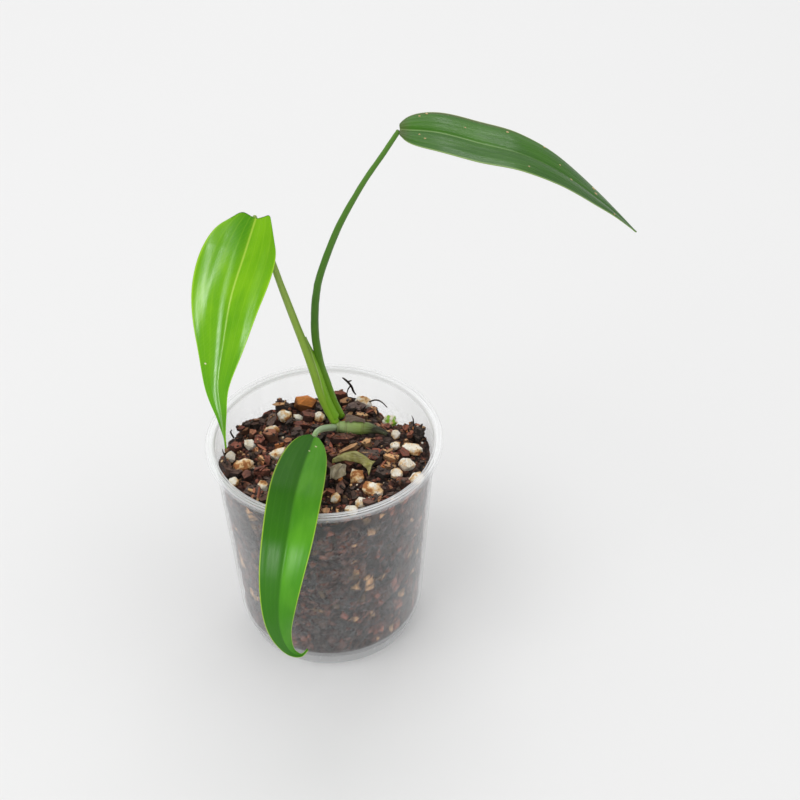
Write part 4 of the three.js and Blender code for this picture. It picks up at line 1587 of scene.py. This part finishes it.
    def facets(self, places: np.ndarray, spacing: float, wrap: float, seed: int) -> np.ndarray:
        """Broken facets over a flat field, as of chips packed side by side.

        Args:
            places: Two coordinates for each place of a grid.
            spacing: Usual size of a facet.
            wrap: Length after which the first coordinate comes round again, or 0.
            seed: Which scatter.

        Returns:
            For each place a height from -1 to 1, the facet's number from 0 to 1 and the nearness of its edge.
        """
        flat = places.reshape(-1, 2)
        draw = np.random.default_rng(seed)
        low, high = flat.min(0), flat.max(0)
        count = int(np.prod(high - low) / spacing ** 2)
        centres = low + draw.random((count, 2)) * (high - low)
        own, tilt = draw.random(count), draw.normal(0, 0.28, (count, 2))
        rise = draw.uniform(-1, 1, count)
        copies = [0.0] + ([-wrap, wrap] if wrap else [])
        tree = KDTree(count * len(copies))
        for shift, (number, centre) in itertools.product(copies, enumerate(centres)):
            tree.insert((centre[0] + shift, centre[1], 0), number)
        tree.balance()
        result = np.zeros((len(flat), 3))
        for k, (x, y) in enumerate(flat):
            (near, number, close), (_, _, following) = tree.find_n((x, y, 0), 2)
            edge = max(0.0, 1 - (following - close) / (0.35 * spacing))
            lean = tilt[number][0] * (x - near[0]) + tilt[number][1] * (y - near[1])
            result[k] = (rise[number] + lean / spacing * 1.5, own[number], edge)
        return result.reshape(*places.shape[:-1], 3)

    def bed(self) -> Shape:
        """Body of the mix: its side against the wall and its floor, all broken into facets, with painted
        shade in the gaps between facets and over its top.

        Returns:
            The closed shape.
        """
        pot, gap = self.pot, self.pot.wall + self.clearance
        centre, foot = pot.centre_foot_radius, pot.foot_radius
        low_point, floor_top = pot.centre_height + self.clearance, pot.floor_height + self.clearance
        floor = np.array([
            (centre + 0.4, low_point), (centre + 1, 2.2), (centre + 2.6, pot.floor_height - 0.1),
            (centre + 3.6, floor_top), (24, floor_top), (foot - 0.3, floor_top), (foot + 0.9, 7.7),
            (foot + 2.1, 9.2)])
        base = rings_about(floor[:, :1], floor[:, 1:], self.segments)
        angle = round_angles(self.segments)
        edge_radius = pot.wall_radius(self.level) - gap
        top_edge = self.height(edge_radius * np.cos(angle), edge_radius * np.sin(angle)) - 0.6
        low = pot.wall_foot_height + 0.2
        heights = low + (top_edge - low) * np.linspace(0, 1, self.side_rows)[:, None]
        flat = spread(angle * self.unrolled_radius, heights)
        wrap = 2 * math.pi * self.unrolled_radius
        large = self.facets(flat, self.large_facet, wrap, self.facet_seeds[0])
        small = self.facets(flat, self.small_facet, wrap, self.facet_seeds[1])
        dent = 0.25 * (1 - large[..., 0]) + 0.2 * (1 - small[..., 0])
        dent = dent + 0.5 * large[..., 2] + 0.3 * small[..., 2]
        radius = pot.wall_radius(heights) - gap - np.clip(dent, 0, 2)
        side = rings_about(radius, heights, self.segments)
        side_own = np.where(small[..., 1] > 0.55, small[..., 1], large[..., 1])
        reach = np.linspace(1, 0.012, self.top_rows + 1)[1:, None] * radius[-1]
        top = rings_about(reach, np.zeros_like(reach), self.segments)
        crumb = self.facets(top[..., :2], self.top_facet, 0, self.facet_seeds[2])
        level = self.height(top[..., 0], top[..., 1]) - 0.7
        top[..., 2] = level + 0.45 * crumb[..., 0] - 0.8 * crumb[..., 2]
        rings = np.concatenate([base, side, top])
        points, faces = closed_round(rings, low_point, rings[-1, :, 2].mean())
        plain = np.full(base.shape[:2], 0.3)
        own = np.concatenate([plain, side_own, crumb[..., 1]])
        # Painted shade: nearness of a facet's edge, where the gaps between chips are darkened
        dark = np.concatenate([0 * plain, np.maximum(large[..., 2], small[..., 2]), crumb[..., 2]])
        # Painted shade: the bed's top, beneath the loose chips, is darkened
        inner = np.ones(own.shape)
        inner[-len(top):] = 0.3
        own, dark = (np.append(values, [0.3, 0.3]) for values in (own, dark))
        inner = np.append(inner, [1.0, 0.3])
        tone = np.where(own > 0.93, 0.84, 0.2 + 0.45 * own)
        light = (0.6 + 4.4 * ((own * 7.31) % 1) ** 1.5) * (1 - 0.9 * dark) * inner
        turned = np.where(((own * 13.7) % 1 > 0.5)[:, None], points[:, [2, 0, 1]], points)
        return Shape(points, faces, {
            "grain_place": turned + (own * 90)[:, None], "tone": spread(tone, light, 0.3)})

    def frame_grain(self, heap: Heap, row: Row, height: float, blocky: bool, draw: Draw,
                    tone: Row | None) -> None:
        """Draws one grain as the frame has it, and adds it to a heap if it has a tone.

        Args:
            heap: Where it goes.
            row: Its x, y, length, width and turn.
            height: Its height.
            blocky: Whether it is a chip.
            draw: Where its numbers come from.
            tone: Three numbers for its finish, or None to leave it out.
        """
        x, y, length, width, turn = row[:5]
        corners = Heap.rough_corners(blocky, draw)
        lean = Matrix.Rotation(0.7 * (draw() - 0.5), 3, "X")
        tip = Matrix.Rotation(0.5 * (draw() - 0.5), 3, "Y")
        if tone is not None:
            level = float(self.height(np.array(x), np.array(y))) + 0.12 * height
            heap.add(corners, (length, width, height), spin(turn) @ np.array(tip) @ np.array(lean),
                     np.array([x, y, level]), tone)

    def near_stalk(self, x: float, y: float, reach: float) -> bool:
        """Whether a place is closer to the stem's first stations than a chip may lie."""
        return any(math.hypot(x - s[0], y - s[1]) < reach + s[3] + 1.5 for s in self.stem.stations[:9])

    def grains(self) -> tuple[Heap, Heap, Heap]:
        """The frame's chips and perlite grains, in the frame's places.

        Returns:
            The heap of bark, the heap of perlite and the black clod.
        """
        draw, shades = Draw(self.bark_seed), Draw(self.shade_seed)
        bark, perlite, clod = Heap(Grit.BARK, 6), Heap(Grit.PERLITE, 9), Heap(Grit.CLOD, 16)
        marked = [*self.PERLITE, *self.LARGE_BARK, self.ORANGE_CHIP, self.BLACK_CHUNK]
        for i in range(self.bark_chips):
            reach = self.bark_reach * math.sqrt((i + 0.5) / self.bark_chips)
            x = reach * math.cos(GOLDEN_ANGLE * i) + 2 * (draw() - 0.5)
            y = reach * math.sin(GOLDEN_ANGLE * i) + 2 * (draw() - 0.5)
            length, width = 6 + 6 * draw(), 3.6 + 3 * draw()
            turn, height = 180 * draw(), 2.6 + 2 * draw()
            crowded = any(math.hypot(x - m[0], y - m[1]) < 0.5 * m[2] + 1.6 for m in marked)
            tone = (0.75 * shades() ** 1.2, shades.between(0.6, 1.25), shades.between(0, 0.6))
            kept = None if crowded or self.near_stalk(x, y, length / 2) else tone
            self.frame_grain(bark, (x, y, length, width, turn), height, True, draw, kept)
        for row in self.PERLITE:
            self.frame_grain(perlite, row, self.perlite_height * row[3], False, draw, row[5:8])
        x, y, length, width, turn, height = self.ORANGE_CHIP
        grown = (x, y, length * self.ORANGE_GROWTH, width * self.ORANGE_GROWTH, turn)
        self.frame_grain(bark, grown, height * self.ORANGE_GROWTH, False, draw, (1.0, 0.72, 0.4))
        self.frame_grain(clod, self.BLACK_CHUNK, self.BLACK_CHUNK[5], False, draw, (0.05, 0.7, 0.1))
        for row in self.LARGE_BARK:
            self.frame_grain(bark, row, row[5], True, draw, (row[6], row[7], 0.35))
        return bark, perlite, clod

    def seat(self, ground: BVHTree, x: float, y: float) -> tuple[np.ndarray, np.ndarray] | None:
        """Where something dropped at a place comes to lie.

        Args:
            ground: What it falls on.
            x: Place across.
            y: Place in depth.

        Returns:
            The spot and the way up there, or None over nothing.
        """
        hit, normal, _, _ = ground.ray_cast(Vector((x, y, self.level + 40)), Vector((0, 0, -1)))
        if hit is None:
            return None
        up = np.array(normal)
        return np.array(hit), up if up[2] > 0 else -up

    def scattered(self, heap: Heap, ground: BVHTree, strewn: Strewn, covers: Sequence[Row]) -> None:
        """Strews crumbs over the mix, each lying on what is beneath it.

        Args:
            heap: Where they go.
            ground: What they lie on.
            strewn: How many, how large and of what tone.
            covers: Centre and radius of each place that is kept free.
        """
        draw = np.random.default_rng(strewn.seed)
        corner_draw = Draw(strewn.seed + 5)
        least, most = strewn.lengths
        for _ in range(strewn.count):
            reach, angle = self.strewn_reach * math.sqrt(draw.random()), draw.uniform(0, 2 * math.pi)
            length = least + (most - least) * draw.random() ** 2
            share, turn, lean = draw.uniform(*strewn.slim), draw.uniform(0, 360), draw.normal(0, 0.3, 2)
            tone = strewn.tone(draw)
            corners = Heap.rough_corners(heap.kind is Grit.BARK, corner_draw)
            x, y = reach * math.cos(angle), reach * math.sin(angle)
            found = self.seat(ground, x, y)
            if found is None or any(math.hypot(x - cx, y - cy) <= room + length / 2
                                    for cx, cy, room in covers):
                continue
            spot, up = found
            up = unit(up + np.array([lean[0], lean[1], 0.6]))
            side = unit(np.cross(up, spin(turn) @ np.array([1.0, 0, 0])))
            turned = np.column_stack([np.cross(side, up), side, up])
            height = length * share * draw.uniform(0.5, 0.85)
            heap.add(corners, (length, length * share, height), turned, spot + up * height * 0.22, tone)

    def held(self, *heaps: Heap) -> Shape:
        """Lumps of some heaps as one shape, kept inside the pot's wall."""
        shape = Shape.joined([heap.shape() for heap in heaps])
        return replace(shape, points=self.inside(shape.points))

    @staticmethod
    def ground(shapes: Sequence[Shape]) -> BVHTree:
        """Surface that crumbs come to lie on."""
        whole = Shape.joined(shapes)
        return BVHTree.FromPolygons(whole.points.tolist(), whole.faces)

    def roots(self) -> Shape:
        """Dead roots and shreds, kept inside the pot's wall.

        Returns:
            One shape with all of them.
        """
        made = []
        for number, rows in enumerate(self.ROOTLETS):
            strand = Stalk(rows, (0.2, 0.9, 0.3), 36, 9, flutes=0.08, seed=self.root_seed + number).shape()
            made.append(Shape(self.inside(strand.points), strand.faces, {
                "grain_place": strand.carried["stalk_place"], "tone": self.ROOT_TONE}))
        return Shape.joined(made)

    def made(self, bark_finish: BarkFinish, perlite_finish: PerliteFinish,
             covers: Sequence[Row]) -> list[bpy.types.Object]:
        """Builds and dresses the mix.

        Args:
            bark_finish: Finish of the bark.
            perlite_finish: Finish of the perlite.
            covers: Places that loose crumbs keep clear of.

        Returns:
            The pieces.
        """
        bed = self.bed()
        bark_heap, perlite_heap, clod = self.grains()
        bark, perlite = self.held(bark_heap, clod), self.held(perlite_heap)
        stem = self.stem.line.at(np.linspace(0, 0.85, 40))
        free = [*covers, *((row[0], row[1], 0.42 * max(row[2], row[3])) for row in self.PERLITE),
                *((x, y, self.stem_room) for x, y, _ in stem)]
        ground = self.ground([bed, bark, perlite])
        chips = Heap(Grit.BARK, 3)
        self.scattered(chips, ground, self.LOOSE_CHIPS, free)
        self.scattered(chips, ground, self.SLIVERS, free)
        pieces = self.held(chips)
        ground = self.ground([bed, bark, perlite, pieces])
        crumbs, specks = Heap(Grit.BARK, 1), Heap(Grit.PERLITE, 3)
        self.scattered(crumbs, ground, self.CRUMBS, free)
        self.scattered(specks, ground, self.WHITE_SPECKS, free)
        brown, white = bark_finish.made(), perlite_finish.made()
        rows = ((self.roots(), "dead_rootlets", brown, Smoothness.SOFT),
                (bed, "mix_bed", brown, Smoothness.WORN),
                (bark, "bark_chips", brown, Smoothness.CRISP),
                (pieces, "bark_pieces", brown, Smoothness.CRISP),
                (self.held(crumbs), "bark_crumbs", brown, Smoothness.CRISP),
                (Shape.joined([perlite, self.held(specks)]), "perlite_grains", white, Smoothness.WORN))
        return [dress(shape, name, "potting_mix", finish, smoothness)
                for shape, name, finish, smoothness in rows]


class Plant:
    """The climber: a creeping stem, three petioles with their blades, and dry remains."""

    STEM = [(5.3, 17.2, 90.4, 2.1), (8.5, 16.8, 90.4, 2.65), (10.8, 16.5, 90.3, 3), (13.5, 16.1, 90.2, 3.05),
            (16, 15.9, 90.1, 2.9), (18.6, 15.7, 89.9, 2.6), (21, 15.6, 89.4, 2.1), (24.1, 14.8, 88.7, 1.5),
            (26.8, 14, 87.2, 1.25), (28.5, 13, 83, 1.2), (29, 12.5, 76, 1.1)]
    RIGHT_PETIOLE = [(7.7, 21.8, 93.1, 1.55), (4.9, 21.2, 101.8, 1.55), (2.6, 21.1, 111.8, 1.55),
                     (0.1, 20.9, 122.5, 1.6), (-1.4, 20.4, 136, 1.65), (-1.3, 20.4, 147.6, 1.62),
                     (-0.2, 20.6, 158.7, 1.56), (2.2, 21, 169.3, 1.46), (9.7, 22, 189.3, 1.32),
                     (19.6, 23, 208, 1.1), (28.8, 24, 222, 1.02), (34.4, 24.1, 231, 0.95)]
    LEFT_PETIOLE = [(4.9, 18.5, 92.7, 1.9), (2.2, 19.2, 99.3, 2), (-0.3, 19.2, 107.5, 2),
                    (-2.6, 19.1, 118.1, 1.8), (-5.7, 19.4, 131.4, 1.68), (-9.6, 19.8, 146.5, 1.57),
                    (-14.4, 20.6, 164.8, 1.38), (-18.4, 21.5, 180.9, 1.28), (-21.2, 22, 190.6, 1.1),
                    (-22.2, 21.5, 194.8, 1), (-22.6, 20.6, 197, 0.95), (-22.6, 19.5, 198, 0.9)]
    FRONT_PETIOLE = [(3.9, 14.3, 92.6, 1.5), (1, 9, 96.9, 1.45), (-1.2, 4, 100.7, 1.35),
                     (-2.7, -1, 103.9, 1.2), (-3.7, -5, 105.8, 1.1), (-3.95, -7, 106.6, 1.05)]
    LEFT_RIB = [(-22.1, 18, 198.4), (-27.2, 16, 184.3), (-34.3, 13.5, 164), (-38.9, 11, 142.8),
                (-42.4, 8.5, 123.4), (-42, 6.5, 107.6), (-41.6, 4.2, 92.8)]
    FRONT_RIB = [(-4.1, -8, 106.9), (-9.4, -31, 109.7), (-12.8, -48, 109.9), (-16, -61, 102.4),
                 (-19.3, -67, 87.7), (-21.6, -68, 68.5), (-21.5, -66, 52.5), (-18.7, -62, 37.8),
                 (-14.4, -59.4, 31.6), (-11.4, -58, 33.4)]
    RIGHT_RIB = [(34.9, 24, 231.7), (49.2, 23, 230.2), (65.4, 22, 225.2), (80.9, 20, 220.9), (96, 18, 213.4),
                 (113, 16, 199.9), (127.6, 14, 186.3)]
    # Specks on each blade: share of the length, share of the half width, radius
    LEFT_FLECKS = [(0.633, 0.7, 0.5)]
    FRONT_FLECKS = [(0.075, -0.02, 0.5), (0.045, -0.3, 0.5)]
    RIGHT_FLECKS = [
        (0.07, -0.78, 0.45), (0.095, -0.9, 0.5), (0.07, 0.3, 0.4), (0.09, 0.5, 0.45), (0.238, -0.47, 0.4),
        (0.393, -0.8, 0.6), (0.542, -0.93, 0.5), (0.478, 0.65, 0.4), (0.61, -0.4, 0.4), (0.66, 0.1, 0.6),
        (0.777, -0.78, 0.8), (0.785, -0.38, 0.7), (0.868, 0.78, 0.4)]
    # Places of the husk, the scrap and the orange chip on the mix: x, y, radius
    COVERS = [(11.5, -8.5, 4.5), (6.0, -9.0, 3.0), (16.0, -12.0, 4.0), (5.0, -15.9, 4.0), (-7.6, 38.4, 5.0)]
    CLEARANCE = 0.3
    SHEET = 0.7

    def __init__(self) -> None:
        """Lays out the stalks."""
        self.stem = Stalk(self.STEM, (0, 1, 0), 240, 40, (0.03, 0.15, 0.42), scar_height=0.12, flutes=0.008,
                          seed=4, scar_show=0.45)
        self.right = Stalk(self.RIGHT_PETIOLE, (0, 1, 0), 260, 28, seed=6, foot=0.8)
        self.left = Stalk(self.LEFT_PETIOLE, (1, 0, 0), 240, 28, seed=7, foot=0.8)
        self.front = Stalk(self.FRONT_PETIOLE, (1, 0, 0), 110, 28, seed=8, foot=1.2)

    def stalks(self) -> list[bpy.types.Object]:
        """Builds and dresses the stem and the petioles.

        Returns:
            The pieces.
        """
        green = StalkFinish("petiole_left_skin", *palette("86bd1e 8cab40 94a95a a4bb66 6b8a2c 70602f"),
                            streak_show=0.25, painted_side_shade_and_margin_show=0.4)
        dark = StalkFinish("petiole_right_skin", *palette("74a420 35650c 558426 5f8a30 4a4a14 6d5a30"),
                           streak_show=0.25, painted_side_shade_and_margin_show=0.7)
        grey = StalkFinish("petiole_front_skin", *palette("a4b890 9db38a 84a862 cdd9be 5f7a52 7a6b48"),
                           painted_side_shade_and_margin_show=0.3)
        # Stem colour: pale at its foot as a painted highlight, near black at its far end as painted shade
        stem_painted_highlight_and_shade = StalkFinish("stem_skin", *palette("9bb074 7d9344 221f0e aebf8e 455a22 5b4b30"), gloss=0.42,
                            streak_show=0.15, painted_side_shade_and_margin_show=0.45, middle_at=0.4, head_at=0.62)
        rows = ((self.stem, "creeping_stem", "stem", stem_painted_highlight_and_shade),
                (self.left, "left_petiole", "petiole_left", green),
                (self.right, "right_petiole", "petiole_right", dark),
                (self.front, "front_petiole", "petiole_front", grey))
        return [dress(stalk.shape(), name, node, finish.made())
                for stalk, name, node, finish in rows]

    @staticmethod
    def clasp_offset(k: np.ndarray, v: np.ndarray) -> np.ndarray:
        """Space between the left petiole and the clasping sheath, in millimetres."""
        flare = (1.3 + 0.6 * smooth(k, 0.2, 0.6)) * (1 - v)
        return 0.02 + flare * (1 - 0.8 * smooth(k, 0.75, 1.0))

    def scale_offset(self, k: np.ndarray, v: np.ndarray) -> np.ndarray:
        """Space between the stem and the torn scale, in millimetres."""
        return self.CLEARANCE + self.SHEET / 2 + (2.2 - 1.9 * k) * (1 - v) ** 2

    def sheaths(self) -> list[bpy.types.Object]:
        """Builds and dresses the clasping sheath and the dry scale.

        Returns:
            The pieces.
        """
        clasp = Sheath(self.left, 0.02, 0.4,
                       lambda k: (75 - 52 * k, 24 - 4 * k - (99 - 48 * k) * (1 - k ** 4)),
                       self.clasp_offset, ragged=0.1).shape()
        scale = Sheath(self.stem, 0.13, 0.46, lambda k: (52 + 0 * k, 98 - 6 * k),
                       self.scale_offset, ragged=1.0, seed=9).shape()
        living = StalkFinish("sheath_skin", *palette("7ab41e 7fae2a 93b848 6b9a2c bccb8a 7a6a3f"),
                             streak_show=0.3, painted_side_shade_and_margin_show=0.6, edge_from=0.75, edge_low=0.24)
        brown = PaperFinish("papery_brown", *palette("6a5446 9b8571 3c2c25"))
        del clasp.carried["grain_place"]
        return [
            dress(clasp, "clasping_sheath", "petiole_right", living.made()),
            dress(scale, "torn_scale", "dry_scale", brown.made())]

    def remains(self) -> list[bpy.types.Object]:
        """Builds and dresses the dry husk and scrap on the mix.

        Returns:
            The pieces.
        """
        husk = Remains((11.2, -11, 94), length=17, width=4.8, turn=-20, curl=2.6, sag=0.8, bow=3.8, flare=1.2,
                       seed=41)
        scrap = Remains((5, -15.9, 94.3), length=9, width=6.5, turn=60, curl=1.8, sag=0.4, bow=0, flare=0,
                        seed=43, crumple=1.5)
        green = PaperFinish("papery_green", *palette("9a9836 cfc98a 3a2c0c"))
        grey = PaperFinish("papery_grey", *palette("a8946c e2d6ba 2c2014"), 0.35)
        return [
            dress(husk.shape(), "dry_husk", "dry_sheath", green.made()),
            dress(scrap.shape(), "grey_scrap", "dry_scrap", grey.made())]

    def blades(self) -> list[bpy.types.Object]:
        """Builds and dresses the three leaf blades.

        Returns:
            The pieces.
        """
        lime = BladeFinish("leaf_left_skin",
                           *palette("62a004 74ae0c 3f8404 93c22e b3cf48 9ecb34 7fa64a 8fbf3a"),
                           rib_width=0.6, rib_show=0.6, vein_show=0.22, gloss=0.25, crease_painted_shade_show=0.8,
                           shade_show=0.7)
        deep = BladeFinish("leaf_front_skin",
                           *palette("438812 52961c 225804 5f9a30 4f8c20 a4c43e 6f9a52 4a7a26"),
                           rib_width=0.6, rib_show=0.15, vein_show=0.1, painted_shade_half_show=0.8, gloss=0.36)
        old = BladeFinish("leaf_right_skin",
                          *palette("366a14 42761c 25520c 6f9e46 93b570 a3bf74 7d9f68 6b4048"),
                          rib_width=0.7, rib_show=0.5, vein_show=0.2, flush_show=0.6, painted_shade_half_show=0.28,
                          speck=paint("cdb183"), gloss=0.28)
        left = Blade(
            "left_blade", "leaf_left", self.LEFT_RIB, facing=(-0.15, -0.85, 0.5),
            half_width=14.7, lean=0.14, base_curve=0.45, tip_curve=1.45, roll=18.5, twist=-40.6, fold=0.25,
            lobes=3.4, base_width=0.03, finish=lime, swell=0.3, swell_width=10, lobe_skew=0.5, seed=61,
            flecks=self.LEFT_FLECKS)
        front = Blade(
            "front_blade", "leaf_front", self.FRONT_RIB, facing=(0, -0.77, 0.64),
            half_width=10.55, lean=0.02, base_curve=0.434, tip_curve=1.04, roll=5, twist=5, fold=0.12,
            lobes=0.4, base_width=0.006, finish=deep, seed=62, flecks=self.FRONT_FLECKS)
        right = Blade(
            "right_blade", "leaf_right", self.RIGHT_RIB, facing=(0.2, -0.1, 1),
            half_width=14.4, lean=0.01, base_curve=0.406, tip_curve=0.894, roll=-2.9, twist=17.9, fold=0.17,
            lobes=0.4, base_width=0.006, finish=old, seed=63, flecks=self.RIGHT_FLECKS)
        return [blade.made() for blade in (left, front, right)]


@dataclass
class Studio:
    """Pale floor, soft lights and the camera at the photograph's viewing angle."""

    position: Row = (0.0, -539.56, 566.15)
    forward: Row = (0.04565, 0.76830, -0.63846)
    upward: Row = (0.05191, 0.63644, 0.76958)
    lens: float = 76.5
    sensor: float = 36.0
    floor_side: float = 6000.0

    def camera(self) -> None:
        """Sets up the camera."""
        data = bpy.data.cameras.new("camera")
        data.lens, data.sensor_width = self.lens, self.sensor
        data.clip_start, data.clip_end = 0.01, 20
        camera = bpy.data.objects.new("camera", data)
        back, up = -Vector(self.forward).normalized(), Vector(self.upward).normalized()
        turn = Matrix((up.cross(back), up, back)).transposed()
        camera.matrix_world = Matrix.Translation(Vector(self.position) * MM) @ turn.to_4x4()
        bpy.context.scene.collection.objects.link(camera)
        bpy.context.scene.camera = camera

    def floor(self) -> None:
        """Lays the pale floor."""
        half = self.floor_side / 2
        corners = np.array([(-half, -half, 0), (half, -half, 0), (half, half, 0), (-half, half, 0)], float)
        floor = Shape(corners, [[0, 1, 2, 3]]).made("floor")
        made, bench = material("studio_floor")
        place = bench.put("NewGeometry", {}, "Position")
        colour = bench.tint(bench.grain(place, EVEN, 3.0), paint("e8e8e8"), paint("eaeaea"))
        bench.coat({"Base Color": colour, "Roughness": 0.9, "Specular IOR Level": 0.1})
        floor.data.materials.append(made)

    def softbox(self, name: str, place: Row, target: Row, size: Row, power: float) -> bpy.types.Object:
        """Hangs a soft light.

        Args:
            name: Name of the light.
            place: Where it hangs, in metres.
            target: What it points at, in metres.
            size: Its width and height, in metres.
            power: Its power in watts.

        Returns:
            The light.
        """
        data = bpy.data.lights.new(name, "AREA")
        data.shape = "RECTANGLE"
        data.size, data.size_y = size
        data.energy = power
        light = bpy.data.objects.new(name, data)
        way = Vector(target) - Vector(place)
        turn = way.to_track_quat("-Z", "Y").to_matrix().to_4x4()
        light.matrix_world = Matrix.Translation(Vector(place)) @ turn
        bpy.context.scene.collection.objects.link(light)
        return light

    def glints(self, blades: Sequence[bpy.types.Object]) -> None:
        """Hangs a small light for each leaf blade that only draws its highlights.

        Args:
            blades: The left, front and right blade.
        """
        rows = (((-0.07, -0.2, 0.035), (-0.036, 0.013, 0.159), (0.04, 0.06), 0.42),
                ((0.0, -0.31, 0.075), (-0.015, -0.066, 0.08), (0.03, 0.13), 0.5),
                ((0.62, 1.0, 1.1), (0.08, 0.02, 0.222), (0.3, 0.2), 1.6))
        for blade, (place, target, size, power) in zip(blades, rows):
            lit = bpy.data.collections.new("glossy_" + blade.name)
            lit.objects.link(blade)
            light = self.softbox("glint_" + blade.name, place, target, size, power)
            light.light_linking.receiver_collection = lit

    def lights(self) -> None:
        """Sets up the world's pale light and the softboxes."""
        world = bpy.data.worlds.new("studio")
        bpy.context.scene.world = world
        world.use_nodes = True
        sky = world.node_tree.nodes["Background"]
        sky.inputs[0].default_value = (1.0, 1.0, 1.0, 1.0)
        sky.inputs[1].default_value = 0.7
        middle = (0.0, 0.0, 0.1)
        self.softbox("key", (-0.9, -0.6, 1.7), middle, (1.4, 1.2), 12.0)
        self.softbox("fill", (1.3, -0.5, 1.6), middle, (1.4, 1.4), 4.0)
        self.softbox("back", (0.1, 1.5, 1.6), middle, (1.8, 1.0), 9.0)
        bpy.context.scene.view_settings.view_transform = "Standard"


def write_sizes() -> None:
    """Brings the view layer up to date."""
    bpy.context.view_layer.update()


def main() -> None:
    """Builds the studio, the pot, the mix and the plant."""
    logging.basicConfig(level=logging.INFO, format="%(message)s")
    studio = Studio()
    studio.camera()
    studio.floor()
    studio.lights()
    plant = Plant()
    pot = ClearPot()
    made = [pot.made(PlasticFinish())]
    made += PottingMix(pot, plant.stem).made(BarkFinish(), PerliteFinish(), plant.COVERS)
    made += plant.stalks() + plant.sheaths() + plant.remains()
    blades = plant.blades()
    studio.glints(blades)
    made += blades
    LOG.info("%d pieces", len(made))
    write_sizes()


if __name__ == "__main__":
    main()
